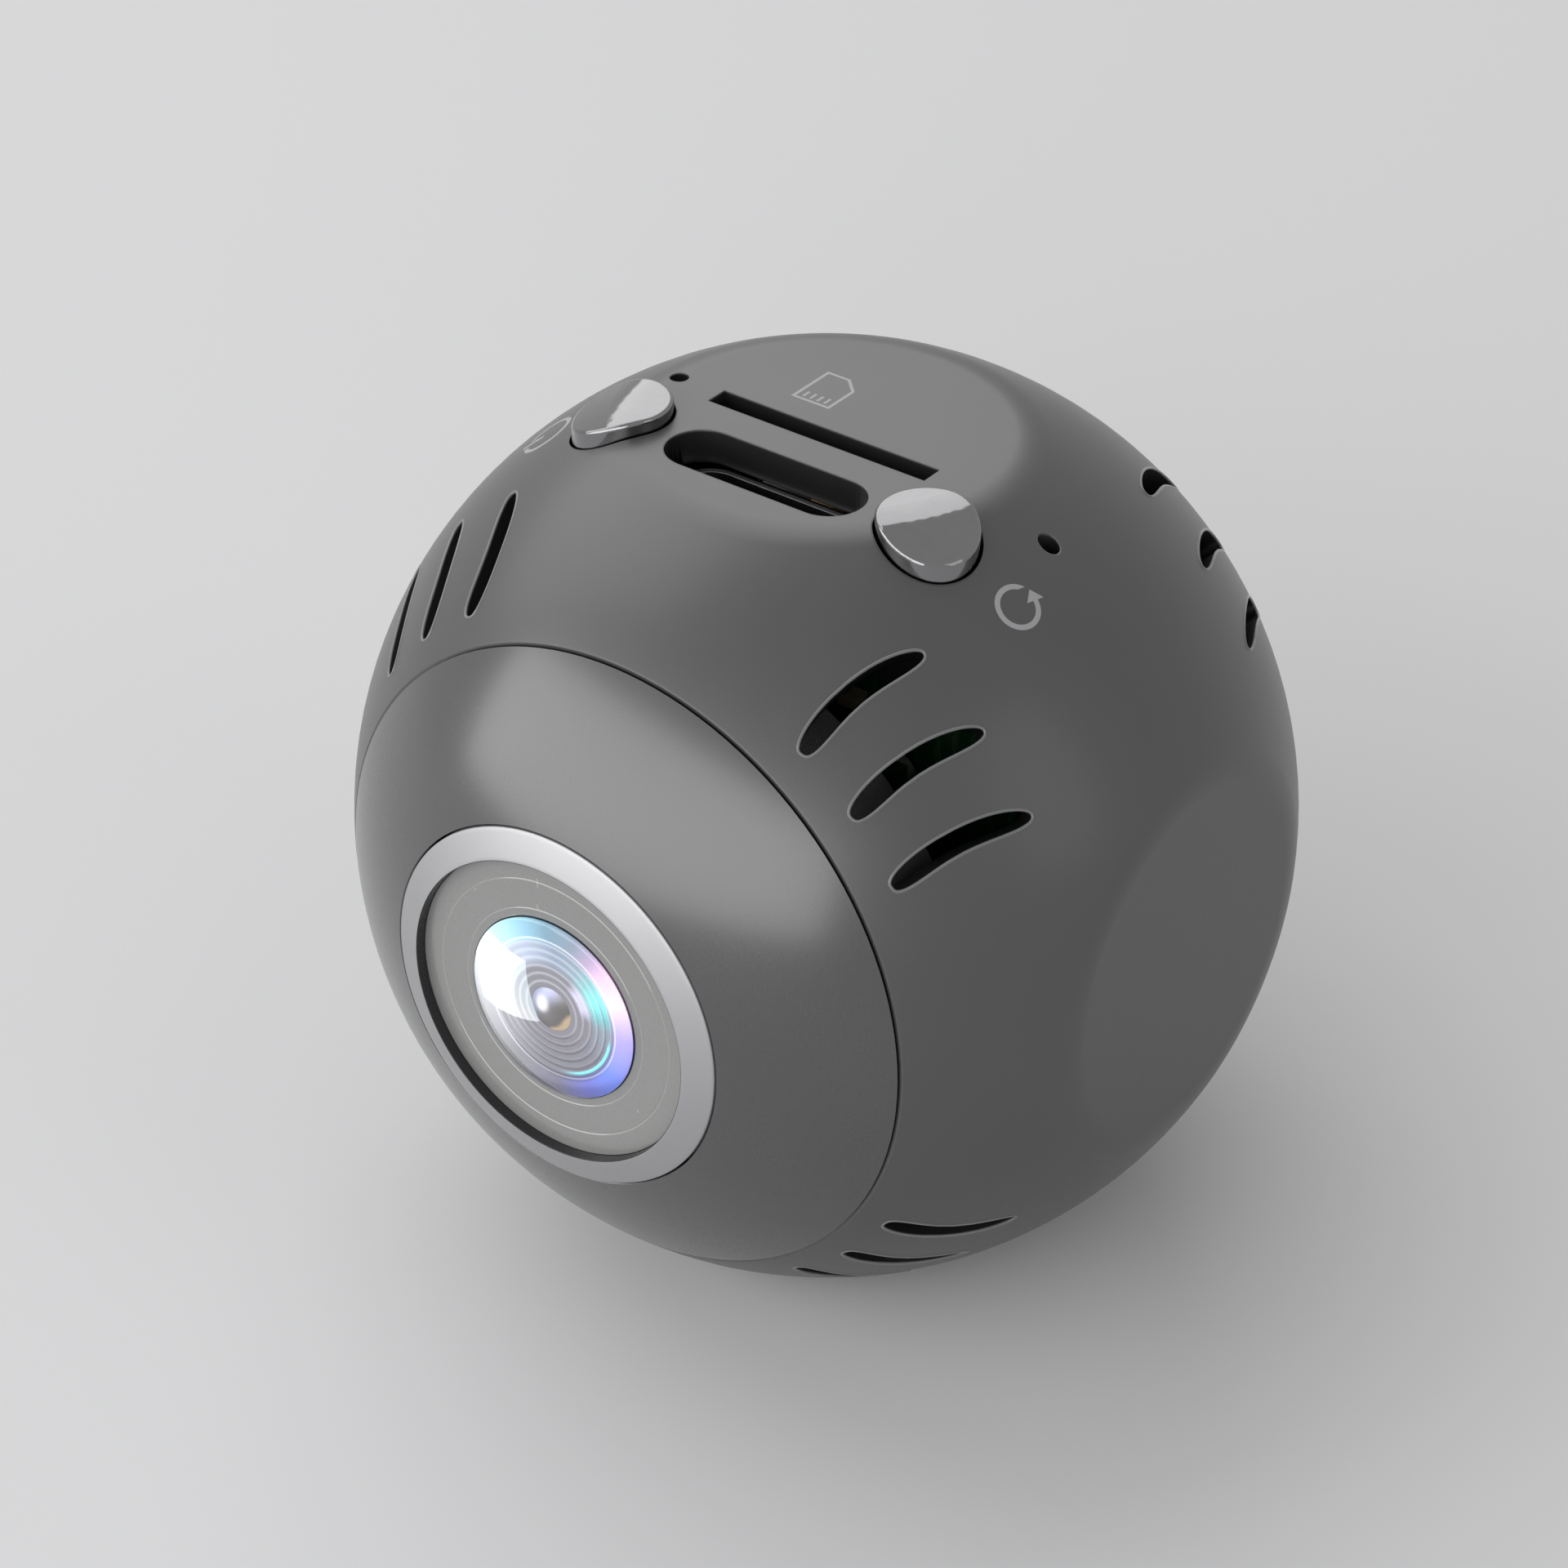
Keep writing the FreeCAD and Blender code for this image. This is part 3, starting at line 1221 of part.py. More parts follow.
def battery_lead(plug_depth):
    """Two wires that leave the plug downwards, pass under the tray and rise to the battery's lower edge."""
    depth = value(plug_depth)
    plug_bottom = value("plug_socket_bottom + plug_margin")
    cell_bottom = value("-battery_height / 2")
    low = -value("wire_drop")
    bend = value("wire_bend")
    rear = value("wire_rear")
    radius = value("wire_radius")
    wires = []
    for x in (value("wire_place - wire_spacing / 2"), value("wire_place + wire_spacing / 2")):
        start = V(x, depth, plug_bottom)
        end = V(x, rear, cell_bottom)
        first_down, first_level = V(x, depth, low + bend), V(x, depth + bend, low)
        last_level, last_up = V(x, rear - bend, low), V(x, rear, low + bend)
        pieces = [
            Part.LineSegment(start, first_down),
            quarter(V(x, depth + bend, low + bend), first_down, first_level),
            Part.LineSegment(first_level, last_level),
            quarter(V(x, rear - bend, low + bend), last_level, last_up),
            Part.LineSegment(last_up, end),
        ]
        path = Part.Wire([piece.toShape() for piece in pieces])
        ring = Part.Wire([Part.makeCircle(radius, start, V(0, 0, -1))])
        wires.append(path.makePipeShell([ring], True, True))
    lead = doc.addObject("Part::Feature", "lead")
    lead.Shape = Part.makeCompound(wires)
    section = math.pi * radius ** 2
    print("each wire: bend radius %.2f mm, volume %.3f mm3, section by length %.3f mm3"
          % (bend, wires[0].Volume, section * path.Length))
    finish("battery_lead", lead)


outer_ball = ball_with_flats("outer_ball", "ball_radius", "flat_distance", "flat_blend")
main_shell(outer_ball)
front_cover(outer_ball)
rear_cover(outer_ball)
lens_bezel()
lens_barrel()
lens_trim()
front_lens()
inner_baffle()
lens_element("middle_lens", "baffle_end - element_gap", "middle_lens_end", "middle_lens_curve")
lens_element("rear_lens", "stop_end - element_gap", "rear_lens_end", "rear_lens_curve")
lens_ring("aperture_stop", "stop_hole", "middle_lens_end - element_gap", "stop_end")
lens_ring("lens_lock_ring", "lock_ring_hole", "rear_lens_end - element_gap", "lock_ring_end")
lens_holder()
sensor_parts()
screws()
main_board()
usb_connector()
card_reader()
chips()
sensor_ribbon()
for button_name, button_x in BUTTONS.items():
    button(button_name, button_x)
    switch(button_name, button_x)
lamp()
microphone()
cell_parts()
tray_parts()
battery_lead(battery_plug())
doc.recompute()

for obj in doc.Objects:
    if "Invalid" in obj.State or "Error" in obj.State:
        raise RuntimeError("%s failed: %s" % (obj.Label, obj.State))
os.makedirs("parts", exist_ok=True)
for piece in SUB_PARTS:
    if piece.Shape.isNull() or not piece.Shape.isValid():
        raise RuntimeError("%s has no valid shape" % piece.Label)
for piece in SUB_PARTS:
    piece.Shape.exportStep(os.path.join("parts", piece.Label + ".step"))
    print("%-18s %2d solids %9.2f mm3" % (piece.Label, len(piece.Shape.Solids), piece.Shape.Volume))
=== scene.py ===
import itertools
import math
import bmesh
import bpy
from mathutils import Matrix, Quaternion, Vector


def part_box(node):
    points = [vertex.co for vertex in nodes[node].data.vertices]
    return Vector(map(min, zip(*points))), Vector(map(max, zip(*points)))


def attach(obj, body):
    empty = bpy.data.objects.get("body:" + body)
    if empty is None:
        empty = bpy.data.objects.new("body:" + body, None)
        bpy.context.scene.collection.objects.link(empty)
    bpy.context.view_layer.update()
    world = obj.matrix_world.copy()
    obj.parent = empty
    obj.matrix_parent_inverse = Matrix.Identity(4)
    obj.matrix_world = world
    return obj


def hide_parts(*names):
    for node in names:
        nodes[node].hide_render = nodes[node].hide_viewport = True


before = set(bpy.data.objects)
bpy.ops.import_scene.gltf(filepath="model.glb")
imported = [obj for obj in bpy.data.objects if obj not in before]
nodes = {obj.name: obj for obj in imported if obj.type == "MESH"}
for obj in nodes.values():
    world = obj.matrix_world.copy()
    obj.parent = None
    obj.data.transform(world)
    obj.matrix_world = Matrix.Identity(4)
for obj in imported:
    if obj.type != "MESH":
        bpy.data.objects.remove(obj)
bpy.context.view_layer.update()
mm = 0.001
shellLow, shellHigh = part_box("main_shell")
ballHeight = (shellLow[2] + shellHigh[2]) / 2  # the ball's middle, and the lens axis with it


# the photograph's view

viewSettings = {
    "azimuth": 36.06,
    "elevation": 33.64,
    "roll": 0.70,
    "distance": 0.210,
    "lens": 107.9,
    "sensor": 36.0,
    "shiftX": -0.0271,
    "shiftY": 0.0135,
}


def direction(azimuth, elevation):
    # away from the ball's middle, by degrees from the front and up
    turn = math.radians(azimuth)
    rise = math.radians(elevation)
    return Vector((math.sin(turn) * math.cos(rise), -math.cos(turn) * math.cos(rise), math.sin(rise)))


def addCamera():
    s = viewSettings
    away = direction(s["azimuth"], s["elevation"])
    data = bpy.data.cameras.new("camera")
    data.lens = s["lens"]
    data.sensor_width = s["sensor"]
    data.shift_x = s["shiftX"]
    data.shift_y = s["shiftY"]
    data.clip_start = 0.005
    data.clip_end = 20
    camera = bpy.data.objects.new("camera", data)
    camera.location = Vector((0, 0, ballHeight)) + away * s["distance"]
    camera.rotation_mode = "QUATERNION"
    roll = Quaternion((0, 0, 1), math.radians(s["roll"]))
    camera.rotation_quaternion = away.to_track_quat("Z", "Y") @ roll
    bpy.context.scene.collection.objects.link(camera)
    bpy.context.scene.camera = camera


addCamera()
print("camera set")


# shader maths: a socket that can be used in plain expressions

class Value:
    def __init__(self, paint, socket):
        self.paint = paint
        self.socket = socket

    def maths(self, operation, first, second=0.0):
        return self.paint.node("Math", {"operation": operation}, {0: first, 1: second})

    def __add__(self, other):
        return self.maths("ADD", self, other)

    def __radd__(self, other):
        return self.maths("ADD", other, self)

    def __sub__(self, other):
        return self.maths("SUBTRACT", self, other)

    def __rsub__(self, other):
        return self.maths("SUBTRACT", other, self)

    def __mul__(self, other):
        return self.maths("MULTIPLY", self, other)

    def __rmul__(self, other):
        return self.maths("MULTIPLY", other, self)

    def __truediv__(self, other):
        return self.maths("DIVIDE", self, other)

    def __pow__(self, other):
        return self.maths("POWER", self, other)

    def __lt__(self, other):
        return self.maths("LESS_THAN", self, other)

    def __gt__(self, other):
        return self.maths("GREATER_THAN", self, other)

    def __abs__(self):
        return self.maths("ABSOLUTE", self)


class Paint:
    # one material; every node is added through node()
    def __init__(self, name):
        self.material = bpy.data.materials.new(name)
        self.material.use_nodes = True
        self.tree = self.material.node_tree
        self.tree.nodes.clear()

    def node(self, kind, settings=None, sockets=None, output=0):
        made = self.tree.nodes.new("ShaderNode" + kind)
        for key, setting in (settings or {}).items():
            if key == "stops":
                ramp = made.color_ramp
                while len(ramp.elements) < len(setting):
                    ramp.elements.new(0.5)
                for element, (place, colour) in zip(ramp.elements, setting):
                    element.position = place
                    element.color = (*colour, 1)
            else:
                setattr(made, key, setting)
        for key, given in (sockets or {}).items():
            if isinstance(given, Value):
                self.tree.links.new(given.socket, made.inputs[key])
            elif made.inputs[key].type == "RGBA":
                made.inputs[key].default_value = (*given, 1)
            else:
                made.inputs[key].default_value = given
        return Value(self, made.outputs[output])

    def place(self):
        return self.node("TexCoord", output="Object")

    def axes(self):
        # x, y and z of the object, in millimetres from the ball's middle
        middle = (0, 0, ballHeight)
        moved = self.node("VectorMath", {"operation": "SUBTRACT"}, {0: self.place(), 1: middle})
        scaled = self.node("VectorMath", {"operation": "SCALE"}, {0: moved, "Scale": 1 / mm})
        return [self.node("SeparateXYZ", None, {0: scaled}, output=k) for k in range(3)]

    def along(self, direction, middle=(0, 0, 0)):
        # distance in millimetres from a place, along a direction
        start = (middle[0] * mm, middle[1] * mm, middle[2] * mm + ballHeight)
        moved = self.node("VectorMath", {"operation": "SUBTRACT"}, {0: self.place(), 1: start})
        scaled = tuple(c / mm for c in direction)
        return self.node("VectorMath", {"operation": "DOT_PRODUCT"}, {0: moved, 1: scaled}, output="Value")

    def noise(self, size, detail=2.0, rough=0.5):
        # size of the grain in millimetres
        sockets = {"Vector": self.place(), "Scale": 1 / (size * mm), "Detail": detail, "Roughness": rough}
        return self.node("TexNoise", None, sockets, output="Fac")

    def bands(self, number, width):
        # runs from 0 up to width and back, again and again
        return self.node("Math", {"operation": "PINGPONG"}, {0: number, 1: width})

    def colours(self, factor, first, second):
        return self.node("Mix", {"data_type": "RGBA"}, {0: factor, 6: first, 7: second}, output=2)

    def ramp(self, factor, stops):
        return self.node("ValToRGB", {"stops": stops}, {0: factor}, output="Color")

    def clamp(self, number):
        return self.node("Clamp", None, {0: number})

    def smooth(self, number, low, high):
        # 0 below low, 1 above high
        return self.node("MapRange", {"interpolation_type": "SMOOTHSTEP"},
                         {0: number, 1: low, 2: high, 3: 0.0, 4: 1.0})

    def most(self, *numbers):
        result = numbers[0]
        for number in numbers[1:]:
            result = self.node("Math", {"operation": "MAXIMUM"}, {0: result, 1: number})
        return result

    def gloss(self):
        # how much plain glass mirrors, the same from inside and outside
        head = 0.043
        facing = self.node("LayerWeight", None, {"Blend": 0.5}, output="Facing")
        return facing ** 5 * (1 - head) + head

    def least(self, first, second):
        return self.node("Math", {"operation": "MINIMUM"}, {0: first, 1: second})

    def softEdge(self, radius):
        # shading that runs round sharp edges, as on moulded and turned parts
        return self.node("Bevel", {"samples": 6}, {"Radius": radius * mm})

    def relief(self, height, depth, normal=None):
        # depth in millimetres
        sockets = {"Height": height, "Strength": 1.0, "Distance": depth * mm}
        if normal:
            sockets["Normal"] = normal
        return self.node("Bump", None, sockets)

    def surface(self, **sockets):
        inputs = {key.replace("_", " "): given for key, given in sockets.items()}
        shader = self.node("BsdfPrincipled", None, inputs)
        made = self.tree.nodes.new("ShaderNodeOutputMaterial")
        self.tree.links.new(shader.socket, made.inputs["Surface"])
        return self.material


# printed marks of the shell, as masks in millimetres from the ball's middle

markSettings = {
    "line": 0.075,  # half the width of a printed line
    "boldLine": 0.12,
    "cardMiddle": (-2.15, 2.72, 19.15),
    "cardHalf": (0.93, 1.27),
    "cardCorner": 1.45,
    "contacts": {"pitch": 0.4, "line": 0.8, "middle": 0.66, "half": 0.24, "width": 0.8},
    "powerMiddle": (-12.3, -4.05, 16.53),
    "powerRadius": 1.15,
    "powerGap": 0.36,
    "powerBar": (0.75, 0.55),  # its middle and half its length, as shares of the ring's radius
    "resetMiddle": (12.26, -3.68, 16.65),
    "resetRadius": 0.92,
    "resetGap": 0.75,
    "arrowHead": (0.52, 0.85),
    "depth": 0.35,  # marks stay on the outer skin
}


def skinAxes(middle):
    # two directions along the ball at a place, the second one up the ball, and the one outwards
    out = Vector(middle).normalized()
    side = Vector((0, 0, 1)).cross(out).normalized()
    return side, out.cross(side), out


def printedMarks(p):
    m = markSettings
    line = m["line"]
    # a plain card with a cut corner and a row of contacts
    u = p.along((1, 0, 0), m["cardMiddle"])
    v = p.along((0, 1, 0), m["cardMiddle"])
    halfWide, halfHigh = m["cardHalf"]
    corner = (u + v) * math.sqrt(0.5) - m["cardCorner"] * math.sqrt(0.5)
    outline = abs(p.most(abs(u) - halfWide, abs(v) - halfHigh, corner)) < line
    c = m["contacts"]
    pitch = halfWide * c["pitch"]
    row = p.node("Math", {"operation": "MODULO"}, {0: u + 10.0 * halfWide, 1: pitch})
    rowHeight = abs(v + halfHigh * c["middle"]) < c["half"]
    contacts = (abs(row - pitch / 2) < line * c["line"]) * rowHeight * (abs(u) < halfWide * c["width"])
    onTop = abs(p.along((0, 0, 1), m["cardMiddle"])) < 0.1
    card = p.most(outline, contacts) * onTop
    # power: a broken ring and a bar, pointing down the ball
    line = m["boldLine"]
    side, up, out = skinAxes(m["powerMiddle"])
    u = p.along(side, m["powerMiddle"])
    v = p.along(-up, m["powerMiddle"])
    radius = m["powerRadius"]
    ring = abs((u * u + v * v) ** 0.5 - radius) < line
    gap = (abs(u) < m["powerGap"]) * (v > 0)
    barMiddle, barHalf = m["powerBar"]
    bar = (abs(u) < line) * (abs(v - radius * barMiddle) < radius * barHalf)
    onSkin = abs(p.along(out, m["powerMiddle"])) < m["depth"]
    power = p.most(ring * (1 - gap), bar) * onSkin
    # reset: an open ring that ends in an arrow head
    side, up, out = skinAxes(m["resetMiddle"])
    u = p.along(side, m["resetMiddle"])
    v = p.along(up, m["resetMiddle"])
    radius = m["resetRadius"]
    ring = abs((u * u + v * v) ** 0.5 - radius) < line
    gap = (u > 0) * (v > 0) * (v < radius * m["resetGap"])
    tip, slant = m["arrowHead"]
    head = (v > 0) * (v < tip) * (abs(u - radius) < (tip - v) * slant)
    onSkin = abs(p.along(out, m["resetMiddle"])) < m["depth"]
    reset = p.most(ring * (1 - gap), head) * onSkin
    return p.most(card, power, reset)


# finishes, one for each material slot

finishes = {}
skinSettings = {
    "ball": 21.0,
    "flat": 19.15,
    "blend": 3.5,
    "near": 0.004,
    "cap": 1.5,  # how far the blend reaches back from a flat
    "lean": 0.94,  # the cosine of the most that a face of the skin leans from the true one
}
shellPaint = {
    "colour": (0.046, 0.046, 0.048),
    "light": (0.056, 0.056, 0.058),
    "paintedEdgeLight": (0.16, 0.16, 0.165),
    "mark": (0.35, 0.35, 0.36),
    "inside": (0.010, 0.010, 0.010),
    "skirt": (0.55, 0.55, 0.56),
    "skirtRadius": 13.9,
    "skirtDepth": 0.8,
    "skin": (0.085, 0.13),  # the colour turns to the painted shade of the inside between these depths
    "paintedEdgeRange": (0.04, 0.30),
    "edge": 0.12,
    "grain": 0.10,
}


def belowSkin(p):
    # how deep a place lies under the ball and its flats, and how far from the lens axis, in millimetres
    x, y, z = p.axes()
    radius = (x * x + y * y + z * z) ** 0.5
    reach = p.most(abs(x), abs(y), abs(z))
    deep = p.least(skinSettings["ball"] - radius, skinSettings["flat"] - reach)
    return deep, (x * x + z * z) ** 0.5


def satinShell(name, marks, roughness, coat, grainDepth):
    s = shellPaint
    p = Paint(name)
    cloud = p.noise(9.0, 3.0, 0.55)
    grain = p.noise(s["grain"], 2.0, 0.6)
    flow = p.noise(1.6, 2.0, 0.5)
    colour = p.colours(cloud, s["colour"], s["light"])
    rounded = None
    # edges painted lighter, as a painted highlight where they round off
    if marks:
        rounded = p.softEdge(s["edge"])
        plain = p.node("NewGeometry", output="Normal")
        turn = p.node("VectorMath", {"operation": "DOT_PRODUCT"}, {0: rounded, 1: plain}, output="Value")
        colour = p.colours(p.smooth(1 - turn, *s["paintedEdgeRange"]), colour, s["paintedEdgeLight"])
    rough = roughness + (cloud - 0.5) * 0.08 + (grain - 0.5) * 0.08
    deep, fromAxis = belowSkin(p)
    # surfaces under the skin, the walls of openings and the seam, are painted near-black as shade
    colour = p.colours(p.smooth(deep, *s["skin"]), colour, s["inside"])
    if marks:
        ink = printedMarks(p)
        colour = p.colours(ink, colour, s["mark"])
        rough = rough + ink * 0.12
    else:
        # the cover's skirt, seen through the vents, is painted pale as light falling in through them
        skirt = (abs(fromAxis - s["skirtRadius"]) < 0.05) * (deep > s["skirtDepth"])
        colour = p.colours(skirt, colour, s["skirt"])
    skin = p.relief(flow, grainDepth * 0.8, rounded)
    skin = p.relief(grain, grainDepth, skin)
    return p.surface(Base_Color=colour, Roughness=rough, Specular_IOR_Level=0.9,
                     Coat_Weight=coat, Coat_Roughness=0.18, Normal=skin)


finishes["shell_grey"] = satinShell("satin shell", True, 0.38, 0.10, 0.003)
coverFinish = satinShell("satin cover", False, 0.26, 0.35, 0.0006)


def metalFinish(name, colour, dark, rough, edge, grain, depth, coat=0.0):
    p = Paint(name)
    speck = p.noise(grain, 3.0, 0.6)
    cloud = p.noise(3.0, 2.0, 0.5)
    return p.surface(Base_Color=p.colours(speck * 0.6 + cloud * 0.4, dark, colour), Metallic=1.0,
                     Roughness=rough + (speck - 0.5) * 0.14 + (cloud - 0.5) * 0.06,
                     Normal=p.relief(speck, depth, p.softEdge(edge)), Coat_Weight=coat, Coat_Roughness=0.05)


def plasticFinish(name, colour, light, rough, edge, grain, depth, coat=0.0):
    p = Paint(name)
    speck = p.noise(grain, 2.0, 0.6)
    cloud = p.noise(4.0, 3.0, 0.5)
    return p.surface(Base_Color=p.colours(cloud, colour, light), Roughness=rough + (speck - 0.5) * 0.16,
                     Normal=p.relief(speck, depth, p.softEdge(edge)), Coat_Weight=coat, Coat_Roughness=0.08)


# name, colours, roughness, radius of the edges, size and depth of the grain, and coat
metals = {
    "bezel_silver": ("silver", (0.70, 0.70, 0.71), (0.60, 0.60, 0.61), 0.42, 0.06, 0.05, 0.0015),
    "button_gloss": ("dark chrome", (0.25, 0.25, 0.255), (0.20, 0.20, 0.205), 0.09, 0.05, 0.6, 0.0004, 0.5),
    "screw_steel": ("screw steel", (0.50, 0.49, 0.47), (0.40, 0.39, 0.38), 0.34, 0.06, 0.05, 0.002),
    "socket_steel": ("socket nickel", (0.26, 0.26, 0.27), (0.20, 0.20, 0.21), 0.30, 0.05, 0.08, 0.001),
    "contact_gold": ("contact gold", (0.62, 0.43, 0.18), (0.52, 0.35, 0.15), 0.30, 0.02, 0.04, 0.0008),
    "sink_aluminium": ("sink aluminium", (0.62, 0.63, 0.64), (0.52, 0.53, 0.54), 0.40, 0.05, 0.10, 0.003),
    "cell_silver": ("cell foil", (0.60, 0.61, 0.62), (0.52, 0.53, 0.54), 0.30, 0.10, 1.2, 0.02),
}
plastics = {
    "lens_black": ("lens black", (0.018, 0.018, 0.019), (0.026, 0.026, 0.027), 0.46, 0.04, 0.05, 0.002),
    "black_plastic": ("moulded black", (0.02, 0.02, 0.021), (0.03, 0.03, 0.031), 0.44, 0.05, 0.07, 0.002),
    "chip_beige": ("ceramic beige", (0.46, 0.39, 0.29), (0.54, 0.46, 0.35), 0.48, 0.03, 0.05, 0.001),
    "sensor_dark": ("sensor glass", (0.02, 0.022, 0.03), (0.03, 0.028, 0.045), 0.12, 0.03, 0.5, 0.0002, 0.8),
    "pad_grey": ("thermal pad", (0.33, 0.36, 0.38), (0.40, 0.43, 0.45), 0.70, 0.06, 0.12, 0.01),
    "foam_black": ("foam", (0.025, 0.025, 0.026), (0.045, 0.045, 0.046), 0.85, 0.08, 0.18, 0.03),
    "boot_rubber": ("boot rubber", (0.022, 0.022, 0.022), (0.034, 0.034, 0.034), 0.62, 0.08, 0.10, 0.004),
    "plug_white": ("plug nylon", (0.66, 0.65, 0.60), (0.74, 0.73, 0.68), 0.42, 0.06, 0.10, 0.002),
    "wire_black": ("wire cover", (0.020, 0.020, 0.021), (0.030, 0.030, 0.031), 0.48, 0.03, 0.20, 0.003),
    "lamp_white": ("lamp body", (0.62, 0.61, 0.55), (0.72, 0.71, 0.62), 0.30, 0.03, 0.2, 0.001, 0.4),
}
for slotName, look in metals.items():
    finishes[slotName] = metalFinish(*look)
for slotName, look in plastics.items():
    finishes[slotName] = plasticFinish(*look)


def boardFinish():
    # green lacquer over copper, with runs of copper showing a little through it
    p = Paint("board lacquer")
    x = p.axes()[0]
    warp = p.noise(2.2, 2.0, 0.5)
    tracks = (p.bands(x + (warp - 0.5) * 2.4, 0.5) < 0.13) * (warp > 0.46)
    colour = p.colours(tracks * 0.75, (0.012, 0.060, 0.026), (0.030, 0.125, 0.050))
    speck = p.noise(0.08, 2.0, 0.5)
    return p.surface(Base_Color=colour, Roughness=0.30 + (speck - 0.5) * 0.1, Coat_Weight=0.5,
                     Coat_Roughness=0.15, Normal=p.relief(tracks, 0.02, p.softEdge(0.04)))


def ribbonFinish():
    # amber film with copper lanes in it
    p = Paint("ribbon amber")
    copper = p.bands(p.axes()[0], 0.25) < 0.10
    colour = p.colours(copper, (0.42, 0.16, 0.030), (0.60, 0.30, 0.10))
    return p.surface(Base_Color=colour, Roughness=0.24 + p.noise(0.4) * 0.08, Coat_Weight=0.4,
                     Coat_Roughness=0.10, Normal=p.relief(copper, 0.015, p.softEdge(0.02)))


def clearFinish(name, colour, rough, veil):
    # clear plastic or glass, thin enough that light goes straight through
    p = Paint(name)
    haze = p.noise(0.5, 2.0, 0.5)
    return p.surface(Base_Color=colour, Roughness=rough + haze * 0.04, Alpha=p.clamp(p.gloss() + veil),
                     Coat_Weight=1.0, Coat_Roughness=0.03, Normal=p.softEdge(0.04))


finishes["board_green"] = boardFinish()
finishes["ribbon_amber"] = ribbonFinish()
finishes["lamp_clear"] = clearFinish("light pipe", (0.55, 0.56, 0.58), 0.10, 0.35)
finishes["filter_glass"] = clearFinish("filter glass", (0.30, 0.45, 0.60), 0.06, 0.30)


# the skin: copies of the shell's meshes, merged, whose shading follows the true ball, flats and blends

def trueNormal(place):
    # the skin's own direction at a place in millimetres from the ball's middle, or nothing off the skin
    s = skinSettings
    if abs(place.length - s["ball"]) < s["near"]:
        return place.normalized()
    ring = math.sqrt((s["ball"] - s["blend"]) ** 2 - (s["flat"] - s["blend"]) ** 2)
    for axis, side in ((0, 1), (0, -1), (1, 1), (2, 1), (2, -1)):
        height = place[axis] * side
        if height < s["flat"] - s["cap"]:
            continue
        flat = Vector([side if k == axis else 0 for k in range(3)])
        if abs(height - s["flat"]) < s["near"]:
            return flat
        across = place - flat * height
        middle = across.normalized() * ring + flat * (s["flat"] - s["blend"])
        if abs((place - middle).length - s["blend"]) < s["near"]:
            return (place - middle).normalized()
    return None


def makeSkin(node, name, material):
    bm = bmesh.new()
    bm.from_mesh(nodes[node].data)
    bmesh.ops.remove_doubles(bm, verts=bm.verts[:], dist=2e-5 * mm)
    piece = pieceFrom(name, bm, 28)
    mesh = piece.data
    middle = Vector((0, 0, ballHeight))
    places = [(v.co - middle) / mm for v in mesh.vertices]
    skin = [trueNormal(place) for place in places]
    normals = [corner.vector.copy() for corner in mesh.corner_normals]
    changed = 0
    for face in mesh.polygons:
        corners = [skin[v] for v in face.vertices]
        if any(c is None or c.dot(face.normal) < skinSettings["lean"] for c in corners):
            continue
        for loop, corner in zip(face.loop_indices, corners):
            normals[loop] = corner
        changed += 1
    mesh.normals_split_custom_set(normals)
    standFor(piece, node, material)
    print(name, len(mesh.polygons), "faces,", changed, "on the skin")


ventSettings = {
    "lensAngle": 58.1,
    "azimuth": 45.3,
    "pitch": 11.8,
    "length": 6.55,
    "width": 1.24,
    "bow": 0.45,
    "bowLead": 0.1,
    "bowDrop": 0.255,
    "pinch": 0.17,
    "nearPower": 2.9,
    "farPower": 2.3,
    "points": 48,
    "lip": 0.075,
    "sunk": 0.035,
    "outside": 0.015,
}


def ventOutline():
    # one vent's edge in millimetres, on a plane square to the ball's radius, its X away from the lens
    s = ventSettings
    halfLength, halfWidth = s["length"] / 2, s["width"] / 2
    for step in range(s["points"]):
        angle = math.tau * step / s["points"]
        along, across = math.cos(angle), math.sin(angle)
        power = 2 / (s["farPower"] if along > 0 else s["nearPower"])
        share = math.copysign(abs(along) ** power, along)
        side = math.copysign(abs(across) ** power, across)
        offTop = share + s["bowLead"]
        lean = -2 * s["bow"] * offTop / halfLength
        wide = (halfWidth + s["outside"]) * side / math.hypot(1, lean)
        rise = s["bow"] * (1 - offTop ** 2) - s["bowDrop"]
        if side < 0:
            rise += s["pinch"] * (1 - share ** 2) ** 2
        yield (halfLength + s["outside"]) * share - lean * wide, wide + rise


